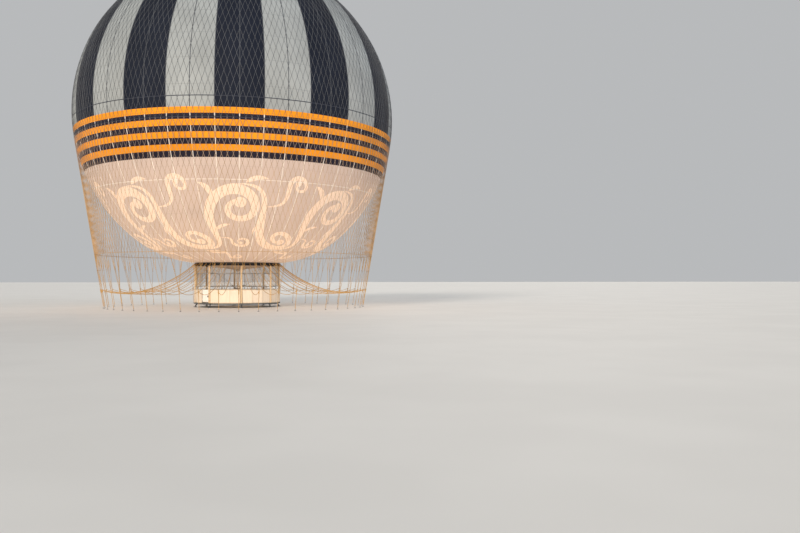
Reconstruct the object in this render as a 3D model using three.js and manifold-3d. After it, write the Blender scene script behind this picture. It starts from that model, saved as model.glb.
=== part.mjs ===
// A captive helium balloon moored on its landing stage: a striped spherical envelope under a rope net,
// a net curtain that hangs to crow's feet and drop lines, slack suspension lines to a load ring,
// and a round open gondola that stands on short feet.
// Millimetres, +Z up, origin at the centre of the envelope. An azimuth is in degrees from -Y towards +X.
import * as THREE from "three";
import { mergeVertices } from "three/addons/utils/BufferGeometryUtils.js";
import Module from "manifold-3d";

const wasm = await Module();
wasm.setup();

// Driving dimensions of the envelope.
const RADIUS = 11250;
const SHELL = 10;
const GAP = 0.3;
const STRIPES = 24;
const STRIPE_STEP = 360 / STRIPES;
const STRIPE_START = -7.1;
const FACET_STEP = STRIPE_STEP / 2;
const SEAM = 0.005;
const CROWN_HOLE = 600;
const CROWN_COLLAR = 1200;
const GORE_ROWS = 8;
const BELT_TOP = -0.1165;
const TAPE_HEIGHT = 40;
const DOME_SPHERE_END = -8700;
const DOME_ROWS = 2;
const HAUNCH_ROWS = 3;
const BELLY_BOTTOM = -10830;
const SEAT_RISE = 34.5;
const SEAT_SLOPE = 5;
const KNEE = { radius: 1700, drop: 0.7 };
const PORT_HOLE = 400;

// Driving dimensions of the net, the curtain and the lines.
const TAPE_WIDTH = 50;
const TAPE_THICK = 14;
const TAPES = 12;
const ROPE = 34;
const LINE = 26;
const FOOT_HALF_HEIGHT = 50;
const CURTAIN_TOP = { radius: 11112, z: -1925 };
const CURTAIN_FOOT = { radius: 9180, z: -13400 };
const CURTAIN_SECTORS = 8;
const CURTAIN_ROPES = 48;
const CURTAIN_HOOPS = [-5900, -9850];
const APEX_Z = -12300;
const GROUND_Z = -13550;
const SUSPENSION_LINES = 48;

// Driving dimensions of the load ring and the gondola.
const MODULES = 24;
const MODULE_STEP = 360 / MODULES;
const MODULE_START = 4.8;
const POSTS = 8;
const POST_STEP = 360 / POSTS;
const RING_OUTER = 3050;
const RING_INNER = 2930;
const RING_TOP = -10400;
const RING_BOTTOM = -10600;
const FLOOR_Z = -13200;
const DECK_THICK = 30;
const DECK_OUTER = 2985;
const DECK_INNER = 1700;
const CHASSIS_DEPTH = 110;
const PARAPET_TOP = -12280;
const PARAPET_THICK = 30;
const HANDRAIL_Z = -12080;
const UPPER_RAIL_Z = -11140;
const RAIL_RADIUS = 2955;
const RAIL_SIZE = 40;
const POST_RADIUS = 70;
const POST_RING = 3000;
const STANCHION = 44;
const STANCHION_SHORT = 5;
const INNER_GUARD = 1735;
const SWIVEL_TOP = -12320;
const SWIVEL_SPLIT = -12620;
const SWIVEL_BOTTOM = -12950;

// Smaller parts of the crown and the belly.
const CROWN_FLANGE = { inner: 440, outer: 640, height: 45, sides: 24 };
const SPIDER = { arms: 3, hub: 40, reach: 500, width: 40, thick: 20 };
const GUIDE = { radius: 55, below: 30, above: 60 };
const LID = { radius: 420, thick: 16, below: 36 };
const STEM = { radius: 20, rise: 180 };
const PORT_PLATE = { radius: 470, thick: 20 };
const PORT_NECK = { radius: 140, drop: 150 };
const BECKET = { radius: 700, inwards: 10, outwards: 20 };

// Slack suspension lines: their collar on the load ring, and two points that pull their sag down.
const LINE_COLLAR = { outwards: 30, grip: 10, bottom: -10520, top: -10450 };
const LINE_START_Z = -10485;
const SAG_NEAR = { radius: 4700, z: -11900 };
const SAG_FAR = { radius: 7300, z: -13050 };
const LINE_END_CLEAR = 5.5;

// Bridle and swivel.
const WIRE = { diameter: 18, headInset: 5, headRise: 50, footRadius: 60, footRise: 40 };
const BRIDLE_PLATE = { radius: 110, thick: 60 };
const HOUSING_RADIUS = 95;
const EYE_DISC = { radius: 75, thick: 90 };
const EYE_BLOCK = { width: 70, depth: 130, height: 260 };
const EYE_HOLE = { radius: 35, z: -12840 };

// Chassis under the deck, and the guard round its open centre.
const CHASSIS_RINGS = [
  { inner: 2830, outer: 2950 },
  { inner: 1740, outer: 1840 },
];
const OUTRIGGER = { inner: 1800, outer: 3085, width: 90, rise: 15 };
const LEG = { headRadius: 2890, headRise: 30, footRadius: 3010, footRise: 15, width: 90 };
const PAD = { radius: 120, thick: 30 };
const GUARD_WALL = 25;
const GUARD_RAIL_OUT = 8;
const GUARD_POST_OUT = 10;
const POST_MARGIN = 1.6;
const GATE_MARGIN = 0.1;

// Gates: name, azimuth of the hinge side. Each fills one module towards the next thick post.
const GATES = [
  ["gate_front", MODULE_START - 4 * MODULE_STEP],
  ["gate_rear", MODULE_START + 8 * MODULE_STEP],
];
const GATE_INSET = 55;
const GATE_FREE = 85;
const LEAF_START = 22;
const GATE_THICK = 30;
const GATE_BAR = 30;
const GATE_BOTTOM = -13150;
const HINGE_HEIGHTS = [-12950, -12450];
const BARREL_RADIUS = 12;
const BARREL_LENGTH = 60;
const BRACKET = { width: 24, thick: 10, leg: 50, legInwards: 20, beyond: 6, wall: 3 };
const HINGE_WEB = { overlap: 10, thick: 10, short: 10 };
const LATCH = { length: 90, depth: 34, height: 120, fromEnd: 50, inwards: 22, below: 675 };

const finish = (color, roughness, metalness) => ({ color, roughness, metalness });
const NAVY = finish(0x1d2133, 0.7, 0);
const PALE = finish(0xaeb0ae, 0.7, 0);
const GOLD = finish(0xf0a03a, 0.65, 0);
const DOME = finish(0xd8c4b6, 0.7, 0);
const NET = finish(0xc8a878, 0.85, 0);
const STEEL = finish(0x4b4c50, 0.45, 0.8);
const CREAM = finish(0xeee0ca, 0.7, 0);
const SLEEVE = finish(0xb58b5c, 0.8, 0);
const DECKING = finish(0x6d6558, 0.7, 0.1);
const ALUMINIUM = finish(0x9a9a9c, 0.35, 0.9);

// Belt bands from the top down: name, colour, lower edge as a share of the radius.
const BELT = [
  ["gold_band_1", GOLD, -0.1554],
  ["navy_band_1", NAVY, -0.1828],
  ["gold_band_2", GOLD, -0.2187],
  ["navy_band_2", NAVY, -0.2452],
  ["gold_band_3", GOLD, -0.2826],
  ["navy_band_3", NAVY, -0.3068],
  ["gold_band_4", GOLD, -0.3441],
  ["navy_band_4", NAVY, -0.375],
];

const group = new THREE.Group();
const radians = THREE.MathUtils.degToRad;
const flat = (x, y) => new THREE.Vector2(x, y);

// The point at a radius, azimuth and height.
function polar(radius, azimuth, z) {
  const angle = radians(azimuth);
  return new THREE.Vector3(radius * Math.sin(angle), -radius * Math.cos(angle), z);
}

// A geometry that keeps only its places, with shared corners, turned so that its faces point out.
function closed(geometry) {
  const plain = geometry.clone();
  plain.deleteAttribute("normal");
  plain.deleteAttribute("uv");
  const merged = mergeVertices(plain, 1e-3);
  const index = merged.index.array;
  const [a, b, c] = [0, 1, 2].map(() => new THREE.Vector3());
  const places = merged.attributes.position;
  let volume = 0;
  for (let i = 0; i < index.length; i += 3) {
    a.fromBufferAttribute(places, index[i]);
    b.fromBufferAttribute(places, index[i + 1]);
    c.fromBufferAttribute(places, index[i + 2]);
    volume += a.dot(b.cross(c));
  }
  if (volume < 0) {
    for (let i = 0; i < index.length; i += 3) {
      [index[i + 1], index[i + 2]] = [index[i + 2], index[i + 1]];
    }
  }
  return merged;
}

// The solid of a geometry, for joining and cutting.
function solidOf(geometry) {
  const { attributes, index } = closed(geometry);
  return new wasm.Manifold(
    new wasm.Mesh({
      numProp: 3,
      vertProperties: attributes.position.array,
      triVerts: new Uint32Array(index.array),
    }),
  );
}

// The geometry of a solid.
function geometryOf(solid) {
  const mesh = solid.getMesh();
  return new THREE.BufferGeometry()
    .setAttribute("position", new THREE.BufferAttribute(mesh.vertProperties, mesh.numProp))
    .setIndex(new THREE.BufferAttribute(mesh.triVerts, 1));
}

const joined = (geometries) => geometryOf(geometries.map(solidOf).reduce((sum, next) => sum.add(next)));

const cut = (geometry, tools) =>
  geometryOf(tools.map(solidOf).reduce((rest, tool) => rest.subtract(tool), solidOf(geometry)));

// Adds one named piece to the model.
function addPiece(name, colour, geometry) {
  const mesh = new THREE.Mesh(closed(geometry), new THREE.MeshStandardMaterial(colour));
  mesh.geometry.computeVertexNormals();
  mesh.name = name;
  group.add(mesh);
}

// The skin over a row of sections with equally many corners, closed by its two end faces or on itself.
function skinned(sections, whole, faces) {
  const count = sections[0].length;
  const index = [];
  const strips = whole ? sections.length : sections.length - 1;
  for (let i = 0; i < strips; i++) {
    const here = i * count;
    const there = ((i + 1) % sections.length) * count;
    for (let j = 0; j < count; j++) {
      const k = (j + 1) % count;
      index.push(here + j, there + j, there + k, here + j, there + k, here + k);
    }
  }
  const last = (sections.length - 1) * count;
  for (const [a, b, c] of faces) index.push(a, b, c, last + c, last + b, last + a);
  const places = sections.flat().flatMap((place) => [...place]);
  return new THREE.BufferGeometry()
    .setAttribute("position", new THREE.Float32BufferAttribute(places, 3))
    .setIndex(index);
}

// The triangles of a flat profile, turned the way its outline runs.
function endFaces(profile) {
  const side = Math.sign(THREE.ShapeUtils.area(profile));
  const alongside = (face) => Math.sign(THREE.ShapeUtils.area(face.map((i) => profile[i]))) === side;
  return THREE.ShapeUtils.triangulateShape(profile, []).map((face) =>
    alongside(face) ? face : [...face].reverse(),
  );
}

// A closed profile of (radius, height) carried round the Z axis from one azimuth to another, as a
// polygon whose corners lie every step degrees from the azimuth first. A full turn closes on itself.
function turned(profile, start, end, step, first) {
  const whole = end - start >= 360 - 1e-9;
  const azimuths = [start];
  const next = first + step * (Math.floor((start - first) / step + 1e-6) + 1);
  for (let azimuth = next; azimuth < end - 1e-6; azimuth += step) azimuths.push(azimuth);
  if (!whole) azimuths.push(end);
  const sections = azimuths.map((azimuth) => {
    const inFacet = THREE.MathUtils.euclideanModulo(azimuth - first, step) - step / 2;
    const scale = Math.cos(radians(step / 2)) / Math.cos(radians(inFacet));
    return profile.map(({ x, y }) => polar(x * scale, azimuth, y));
  });
  return skinned(sections, whole, whole ? [] : endFaces(profile));
}

const rectangle = (r0, r1, z0, z1) => [flat(r0, z0), flat(r1, z0), flat(r1, z1), flat(r0, z1)];
const moduleRing = (profile, start = MODULE_START, end = MODULE_START + 360) =>
  turned(profile, start, end, MODULE_STEP, MODULE_START);
const facetRing = (profile, start = STRIPE_START, end = STRIPE_START + 360) =>
  turned(profile, start, end, FACET_STEP, STRIPE_START);

// The section of a rope or bar: a regular polygon.
function section(diameter, sides) {
  const corners = Array.from({ length: sides }, (_, i) => {
    const angle = (i * 2 * Math.PI) / sides;
    return flat((diameter / 2) * Math.cos(angle), (diameter / 2) * Math.sin(angle));
  });
  return new THREE.Shape(corners);
}

// A rope or bar along a curve.
const ropeAlong = (curve, diameter, sides, steps) =>
  new THREE.ExtrudeGeometry(section(diameter, sides), { extrudePath: curve, steps, bevelEnabled: false });

const bar = (from, to, diameter, sides) => ropeAlong(new THREE.LineCurve3(from, to), diameter, sides, 1);

// An upright round post or boss.
function upright(radius, bottom, top, sides) {
  return new THREE.CylinderGeometry(radius, radius, top - bottom, sides)
    .rotateX(Math.PI / 2)
    .translate(0, 0, (top + bottom) / 2);
}

// A box between two heights, long along the radius and wide across it, turned to an azimuth.
function radialBox(inner, outer, width, bottom, top, azimuth) {
  return new THREE.BoxGeometry(width, outer - inner, top - bottom)
    .translate(0, -(outer + inner) / 2, (top + bottom) / 2)
    .rotateZ(radians(azimuth));
}

// The envelope's outer profile from the crown to the belly, with the rows where its pieces meet.
function envelopeProfile() {
  const onSphere = (z) => flat(Math.sqrt(RADIUS * RADIUS - z * z), z);
  const points = [];
  const latitudeOf = (z) => Math.asin(z / RADIUS);
  const crown = Math.acos(CROWN_HOLE / RADIUS);
  const belt = latitudeOf(BELT_TOP * RADIUS + TAPE_HEIGHT);
  const collarEdge = Math.acos(CROWN_COLLAR / RADIUS);
  points.push(onSphere(RADIUS * Math.sin(crown)));
  const equatorRow = GORE_ROWS - 1;
  for (let i = 0; i <= equatorRow; i++) {
    points.push(onSphere(RADIUS * Math.sin(collarEdge * (1 - i / equatorRow))));
  }
  points.push(onSphere(RADIUS * Math.sin(belt)));
  points.push(onSphere(BELT_TOP * RADIUS));
  for (const [, , edge] of BELT) points.push(onSphere(edge * RADIUS));
  const domeStart = latitudeOf(BELT.at(-1)[2] * RADIUS);
  const domeEnd = latitudeOf(DOME_SPHERE_END);
  for (let i = 1; i <= DOME_ROWS; i++) {
    points.push(onSphere(RADIUS * Math.sin(domeStart + ((domeEnd - domeStart) * i) / DOME_ROWS)));
  }
  const shoulder = points.at(-1);
  const leaving = flat(Math.sin(domeEnd), -Math.cos(domeEnd));
  const seat = flat(RING_OUTER, RING_TOP + SEAT_RISE);
  const arriving = flat(Math.cos(radians(SEAT_SLOPE)), Math.sin(radians(SEAT_SLOPE)));
  const reach = shoulder.distanceTo(seat) / 3;
  const haunch = new THREE.CubicBezierCurve(
    shoulder,
    shoulder.clone().addScaledVector(leaving, reach),
    seat.clone().addScaledVector(arriving, reach),
    seat,
  );
  points.push(...haunch.getPoints(HAUNCH_ROWS).slice(1));
  points.push(flat(KNEE.radius, THREE.MathUtils.lerp(seat.y, BELLY_BOTTOM, KNEE.drop)));
  points.push(flat(PORT_HOLE, BELLY_BOTTOM));
  return points;
}

// A profile moved along its own outward side, at each corner by the mean of the two sides there.
function offset(points, distance) {
  return points.map((point, i) => {
    const before = points[Math.max(i - 1, 0)];
    const after = points[Math.min(i + 1, points.length - 1)];
    const first = flat(before.y - point.y, point.x - before.x).normalize();
    const second = flat(point.y - after.y, after.x - point.x).normalize();
    if (i === 0) return point.clone().addScaledVector(second, distance);
    if (i === points.length - 1) return point.clone().addScaledVector(first, distance);
    const normal = first.clone().add(second).normalize();
    return point.clone().addScaledVector(normal, distance / normal.dot(first));
  });
}

const outer = envelopeProfile();
const inner = offset(outer, -SHELL);
const HEM_ROW = GORE_ROWS + 1;
const BELT_ROW = HEM_ROW + 1;
const DOME_ROW = BELT_ROW + BELT.length;

// A row of the profile between two rows, shortened at its top and bottom.
function stretch(line, top, bottom, cutTop, cutBottom) {
  const points = line.slice(top, bottom + 1).map((point) => point.clone());
  const [a, b] = points;
  const [y, z] = points.slice(-2);
  const first = a.clone().lerp(b, cutTop / a.distanceTo(b));
  const last = z.clone().lerp(y, cutBottom / y.distanceTo(z));
  return [first, ...points.slice(1, -1), last];
}

// The closed profile of the shell between two rows.
function shellProfile(top, bottom, cutTop = GAP / 2, cutBottom = GAP / 2) {
  const trimmed = (line) => stretch(line, top, bottom, cutTop, cutBottom);
  return [...trimmed(outer), ...trimmed(inner).reverse()];
}

// Every second gore, joined by one full ring at a row: a shell over the filled cells of a grid whose
// columns are the gores' seams and middles and whose rows are places on the profile.
function goreStar(parity, rows, ringRow) {
  const starts = Array.from({ length: STRIPES }, (_, i) => STRIPE_START + i * STRIPE_STEP);
  const offsets = [SEAM, FACET_STEP, STRIPE_STEP - SEAM];
  const columns = starts.flatMap((start) => offsets.map((across) => start + across));
  const depth = rows[0].length;
  const layer = columns.length * depth;
  const places = rows.flatMap((line) =>
    columns.flatMap((azimuth) => {
      const inFacet = THREE.MathUtils.euclideanModulo(azimuth - STRIPE_START, FACET_STEP) - FACET_STEP / 2;
      const scale = Math.cos(radians(FACET_STEP / 2)) / Math.cos(radians(inFacet));
      return line.flatMap(({ x, y }) => [...polar(x * scale, azimuth, y)]);
    }),
  );
  const filled = (i, j) => {
    const column = THREE.MathUtils.euclideanModulo(i, columns.length);
    const inGore = column % 3 !== 2 && Math.floor(column / 3) % 2 === parity;
    return j >= 0 && j < depth - 1 && (j === ringRow || inGore);
  };
  const index = [];
  const quad = (a, b, c, d) => index.push(a, b, c, a, c, d);
  for (let i = 0; i < columns.length; i++) {
    const here = i * depth;
    const there = ((i + 1) % columns.length) * depth;
    for (let j = 0; j < depth - 1; j++) {
      if (!filled(i, j)) continue;
      const [a, b, c, d] = [here + j, there + j, there + j + 1, here + j + 1];
      quad(d, c, b, a);
      quad(a + layer, b + layer, c + layer, d + layer);
      if (!filled(i, j - 1)) quad(a, b, b + layer, a + layer);
      if (!filled(i, j + 1)) quad(c, d, d + layer, c + layer);
      if (!filled(i - 1, j)) quad(d, a, a + layer, d + layer);
      if (!filled(i + 1, j)) quad(b, c, c + layer, b + layer);
    }
  }
  return new THREE.BufferGeometry()
    .setAttribute("position", new THREE.Float32BufferAttribute(places, 3))
    .setIndex(index);
}

// Envelope radius at a height, on the ridge between two facets.
function ridgeRadius(z) {
  const row = outer.findIndex((point, i) => i > 0 && point.y <= z);
  const [above, below] = [outer[row - 1], outer[row]];
  return THREE.MathUtils.mapLinear(z, above.y, below.y, above.x, below.x);
}

// Gores: the navy ones joined by the crown collar, the pale ones by the hem above the belt
const navyRows = [outer, inner].map((line) => stretch(line, 0, HEM_ROW, 0, GAP));
addPiece("gores_navy", NAVY, goreStar(0, navyRows, 0));
const paleRows = [outer, inner].map((line) => stretch(line, 1, BELT_ROW, GAP, GAP / 2));
addPiece("gores_pale", PALE, goreStar(1, paleRows, BELT_ROW - 2));

// Belt and lower dome
BELT.forEach(([name, colour], i) => {
  addPiece(name, colour, facetRing(shellProfile(BELT_ROW + i, BELT_ROW + i + 1)));
});
addPiece("lower_dome", DOME, facetRing(shellProfile(DOME_ROW, outer.length - 1)));

// Crown ring with its spider and guide, and the valve lid that slides down on its stem
const crownSeat = outer[0].y + GAP;
const crownTop = crownSeat + CROWN_FLANGE.height;
const spider = Array.from({ length: SPIDER.arms }, (_, i) => {
  const azimuth = (i * 360) / SPIDER.arms;
  return radialBox(SPIDER.hub, SPIDER.reach, SPIDER.width, crownTop - SPIDER.thick, crownTop, azimuth);
});
const guideWall = rectangle(STEM.radius + GAP, GUIDE.radius, crownTop - GUIDE.below, crownTop + GUIDE.above);
const guide = new THREE.LatheGeometry([...guideWall, guideWall[0].clone()], 16).rotateX(Math.PI / 2);
const flangeWall = rectangle(CROWN_FLANGE.inner, CROWN_FLANGE.outer, crownSeat, crownTop);
const crownFlange = turned(flangeWall, 0, 360, 360 / CROWN_FLANGE.sides, 0);
addPiece("crown_ring", ALUMINIUM, joined([crownFlange, guide, ...spider]));
const lidTop = crownTop - LID.below;
const lidDisc = upright(LID.radius, lidTop - LID.thick, lidTop, 24);
const stem = upright(STEM.radius, lidTop - LID.thick / 2, crownTop + STEM.rise, 16);
addPiece("crown_valve_lid", ALUMINIUM, joined([lidDisc, stem]));

// Belly port: a blank plate with a short filling neck under the hole in the dome
const portTop = BELLY_BOTTOM - GAP;
const portPlate = upright(PORT_PLATE.radius, portTop - PORT_PLATE.thick, portTop, 24);
const portNeck = upright(PORT_NECK.radius, portTop - PORT_NECK.drop, portTop - PORT_PLATE.thick / 2, 16);
addPiece("belly_port", ALUMINIUM, joined([portPlate, portNeck]));

// Net over the envelope: the main tapes down to the head rope of the curtain
const headHalf = ROPE / 2;
const headTop = CURTAIN_TOP.z + headHalf;
const TAPE_END_RISE = 3;

// The main tape's line over the envelope, a distance off it.
function tapeLine(distance) {
  const start = outer[0].clone().lerp(outer[1], (BECKET.radius - CROWN_HOLE) / (CROWN_COLLAR - CROWN_HOLE));
  const end = flat(ridgeRadius(headTop + TAPE_END_RISE), headTop + TAPE_END_RISE);
  const between = outer.slice(1).filter((point) => point.y > end.y + 1);
  return offset([start, ...between, end], distance);
}

// One main tape: a strip that follows the facets, of even width, standing in the plane of its azimuth.
function mainTape(azimuth) {
  const strip = new THREE.Shape([...tapeLine(GAP), ...tapeLine(GAP + TAPE_THICK).reverse()]);
  return new THREE.ExtrudeGeometry(strip, { depth: TAPE_WIDTH, bevelEnabled: false })
    .translate(0, 0, -TAPE_WIDTH / 2)
    .rotateX(Math.PI / 2)
    .rotateZ(radians(azimuth - 90));
}
const tapeStep = 360 / TAPES;
const becketInner = BECKET.radius - BECKET.inwards;
const becketOuter = BECKET.radius + BECKET.outwards;
const becket = rectangle(becketInner, becketOuter, crownSeat, crownSeat + TAPE_THICK);
const crownBecket = turned(becket, STRIPE_START, STRIPE_START + 360, tapeStep, STRIPE_START);
const tapeAzimuths = Array.from({ length: TAPES }, (_, i) => STRIPE_START + i * tapeStep);
addPiece("net_upper", NET, joined([crownBecket, ...tapeAzimuths.map(mainTape)]));

// Net curtain: in each sector, ropes on the facet ridges and hoops across them
const ropeStep = 360 / CURTAIN_ROPES;
const curtainRadius = (z) =>
  THREE.MathUtils.mapLinear(z, CURTAIN_TOP.z, CURTAIN_FOOT.z, CURTAIN_TOP.radius, CURTAIN_FOOT.radius);

// A hoop's corner stands further out than its ropes, which cross the middles of its sides.
const hoopCorner = (z) => curtainRadius(z) / Math.cos(radians(ropeStep / 2));

function hoop(z, start, end) {
  const middle = hoopCorner(z);
  const half = ROPE / 2;
  const profile = rectangle(middle - half, middle + half, z - half, z + half);
  return turned(profile, start, end, ropeStep, STRIPE_START + ropeStep / 2);
}

for (let sector = 0; sector < CURTAIN_SECTORS; sector++) {
  const count = CURTAIN_ROPES / CURTAIN_SECTORS;
  const first = STRIPE_START + sector * count * ropeStep;
  const start = first - ropeStep / 2 + SEAM;
  const end = first + (count - 0.5) * ropeStep - SEAM;
  const hem = CURTAIN_HOOPS.at(-1);
  const ropes = Array.from({ length: count }, (_, i) => {
    const azimuth = first + i * ropeStep;
    const top = polar(curtainRadius(CURTAIN_TOP.z), azimuth, CURTAIN_TOP.z);
    return bar(top, polar(curtainRadius(hem), azimuth, hem), ROPE, 3);
  });
  const hoops = [CURTAIN_TOP.z, ...CURTAIN_HOOPS].map((z) => hoop(z, start, end));
  addPiece(`net_curtain_${sector + 1}`, NET, joined([...ropes, ...hoops]));
}

// Crow's feet as one zigzag from the hem to the apexes, and a drop line from each apex to the ground
const hemUnder = CURTAIN_HOOPS.at(-1) - ROPE / 2 - GAP - FOOT_HALF_HEIGHT;
const zigzag = Array.from({ length: 2 * CURTAIN_ROPES }, (_, i) => {
  const azimuth = STRIPE_START + (i * ropeStep) / 2;
  const z = i % 2 ? hemUnder : APEX_Z;
  const radius = i % 2 ? hoopCorner(z) : curtainRadius(z);
  const half = FOOT_HALF_HEIGHT;
  return [
    polar(radius - LINE / 2, azimuth, z),
    polar(radius, azimuth, z - half),
    polar(radius + LINE / 2, azimuth, z),
    polar(radius, azimuth, z + half),
  ];
});
const drops = Array.from({ length: CURTAIN_ROPES }, (_, i) => {
  const azimuth = STRIPE_START + i * ropeStep;
  const apex = polar(curtainRadius(APEX_Z), azimuth, APEX_Z);
  return bar(apex, polar(curtainRadius(GROUND_Z), azimuth, GROUND_Z + LINE), LINE, 4);
});
addPiece("mooring_lines", NET, joined([skinned(zigzag, true, []), ...drops]));

// Slack suspension lines, from a collar round the load ring to every apex
const collarInner = RING_OUTER + GAP;
const collarOuter = RING_OUTER + LINE_COLLAR.outwards;
const lineCollar = moduleRing(rectangle(collarInner, collarOuter, LINE_COLLAR.bottom, LINE_COLLAR.top));
const slack = Array.from({ length: SUSPENSION_LINES }, (_, i) => {
  const azimuth = STRIPE_START + (i * 360) / SUSPENSION_LINES;
  const at = (radius, z) => polar(radius, azimuth, z);
  const start = at(collarInner + LINE_COLLAR.grip, LINE_START_Z);
  const near = at(SAG_NEAR.radius, SAG_NEAR.z);
  const far = at(SAG_FAR.radius, SAG_FAR.z);
  const end = at(curtainRadius(APEX_Z) - LINE / 2 - LINE_END_CLEAR, APEX_Z);
  return ropeAlong(new THREE.CubicBezierCurve3(start, near, far, end), LINE, 3, 6);
});
addPiece("suspension_lines", NET, joined([lineCollar, ...slack]));

// Load ring, bridle and swivel
addPiece("load_ring", STEEL, moduleRing(rectangle(RING_INNER, RING_OUTER, RING_BOTTOM, RING_TOP)));
const postAzimuths = Array.from({ length: POSTS }, (_, i) => MODULE_START + i * POST_STEP);
const wires = postAzimuths.map((azimuth) => {
  const head = polar(RING_INNER - WIRE.headInset, azimuth, RING_BOTTOM + WIRE.headRise);
  const foot = polar(WIRE.footRadius, azimuth, SWIVEL_TOP + WIRE.footRise);
  return bar(head, foot, WIRE.diameter, 4);
});
const bridlePlate = upright(BRIDLE_PLATE.radius, SWIVEL_TOP + GAP, SWIVEL_TOP + BRIDLE_PLATE.thick, 16);
addPiece("bridle", STEEL, joined([...wires, bridlePlate]));
addPiece("swivel_housing", STEEL, upright(HOUSING_RADIUS, SWIVEL_SPLIT + GAP, SWIVEL_TOP, 16));
const eyeHole = new THREE.CylinderGeometry(EYE_HOLE.radius, EYE_HOLE.radius, 2 * EYE_BLOCK.depth, 12)
  .rotateZ(Math.PI / 2)
  .translate(0, 0, EYE_HOLE.z);
const eyeBlock = new THREE.BoxGeometry(EYE_BLOCK.width, EYE_BLOCK.depth, EYE_BLOCK.height);
eyeBlock.translate(0, 0, SWIVEL_BOTTOM + EYE_BLOCK.height / 2);
const eyeDisc = upright(EYE_DISC.radius, SWIVEL_SPLIT - EYE_DISC.thick, SWIVEL_SPLIT, 16);
addPiece("swivel_eye", STEEL, cut(joined([eyeDisc, eyeBlock]), [eyeHole]));

// Sleeved suspension posts
function postAt(azimuth, radius) {
  const foot = FLOOR_Z - DECK_THICK - GAP;
  const { x, y } = polar(POST_RING, azimuth, 0);
  return upright(radius, foot, RING_BOTTOM - GAP, 10).translate(x, y, 0);
}
postAzimuths.forEach((azimuth, i) => {
  addPiece(`suspension_post_${i + 1}`, SLEEVE, postAt(azimuth, POST_RADIUS));
});
const postRooms = postAzimuths.map((azimuth) => postAt(azimuth, POST_RADIUS + GAP));

// Deck, and the chassis with its feet under it
const deckBottom = FLOOR_Z - DECK_THICK;
const roomBelow = postAzimuths.map((azimuth) => {
  const { x, y } = polar(POST_RING, azimuth, 0);
  return upright(POST_RADIUS + GAP, deckBottom - DECK_THICK, FLOOR_Z + DECK_THICK, 10).translate(x, y, 0);
});
addPiece("deck", DECKING, cut(moduleRing(rectangle(DECK_INNER, DECK_OUTER, deckBottom, FLOOR_Z)), roomBelow));
const beamTop = deckBottom - 2 * GAP;
const beamBottom = beamTop - CHASSIS_DEPTH;
const outriggerBottom = beamBottom + OUTRIGGER.rise;
const outriggerTop = beamTop - 0.01;
const chassisParts = CHASSIS_RINGS.map((ring) =>
  moduleRing(rectangle(ring.inner, ring.outer, beamBottom, beamTop)),
);
for (const azimuth of postAzimuths) {
  const head = polar(LEG.headRadius, azimuth, beamBottom + LEG.headRise);
  const foot = polar(LEG.footRadius, azimuth, GROUND_Z + LEG.footRise);
  chassisParts.push(
    radialBox(OUTRIGGER.inner, OUTRIGGER.outer, OUTRIGGER.width, outriggerBottom, outriggerTop, azimuth),
    bar(head, foot, LEG.width, 4),
    upright(PAD.radius, GROUND_Z, GROUND_Z + PAD.thick, 8).translate(foot.x, foot.y, 0),
  );
}
addPiece("chassis", STEEL, joined(chassisParts));

// Inner guard round the open centre: a low wall, a handrail and its stanchions
const guardRail = INNER_GUARD + GUARD_RAIL_OUT;
const guardParts = [
  moduleRing(rectangle(INNER_GUARD - GUARD_WALL, INNER_GUARD, FLOOR_Z + GAP, PARAPET_TOP)),
  moduleRing(rectangle(guardRail, guardRail + RAIL_SIZE, HANDRAIL_Z - RAIL_SIZE, HANDRAIL_Z)),
];
for (const azimuth of postAzimuths) {
  const { x, y } = polar(INNER_GUARD + GUARD_POST_OUT, azimuth, 0);
  guardParts.push(upright(STANCHION / 2, FLOOR_Z + GAP, HANDRAIL_Z - STANCHION_SHORT, 4).translate(x, y, 0));
}
addPiece("inner_guard", CREAM, joined(guardParts));

// Parapet panels and railing sections between the posts, short of a module where a gate is
const gateAfter = (start) => GATES.find(([, azimuth]) => Math.abs(azimuth - (start + 2 * MODULE_STEP)) < 1);
const faceInner = DECK_OUTER + 2 * GAP;
const faceMiddle = faceInner + PARAPET_THICK / 2;

// Turns a geometry drawn at a gate's hinge axis, X along the closed leaf and Y inwards, to its place.
function atHinge(geometry, azimuth) {
  const corner = polar(faceMiddle, azimuth, 0);
  const next = polar(faceMiddle, azimuth + MODULE_STEP, 0);
  const axis = corner.clone().addScaledVector(next.sub(corner).normalize(), GATE_INSET);
  return geometry.rotateZ(radians(azimuth + MODULE_STEP / 2)).translate(axis.x, axis.y, 0);
}

// The hinge brackets of a gate: a leg out from the stanchion, an arm to the axis and a round end, all
// larger by the allowance grow.
function brackets(azimuth, grow) {
  const width = BRACKET.width + 2 * grow;
  const thick = BRACKET.thick + 2 * grow;
  const reach = GATE_INSET + BRACKET.beyond;
  return HINGE_HEIGHTS.flatMap((z) => {
    const height = z - BARREL_LENGTH / 2 - GAP - BRACKET.thick / 2;
    const leg = new THREE.BoxGeometry(width, BRACKET.leg, thick);
    leg.translate(BRACKET.beyond - GATE_INSET, BRACKET.legInwards, height);
    const arm = new THREE.BoxGeometry(reach, width, thick);
    arm.translate(BRACKET.beyond - reach / 2, 0, height);
    const end = upright(BARREL_RADIUS + BRACKET.wall, height - thick / 2, height + thick / 2, 12);
    return [leg, arm, end].map((piece) => atHinge(piece, azimuth));
  });
}

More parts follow.
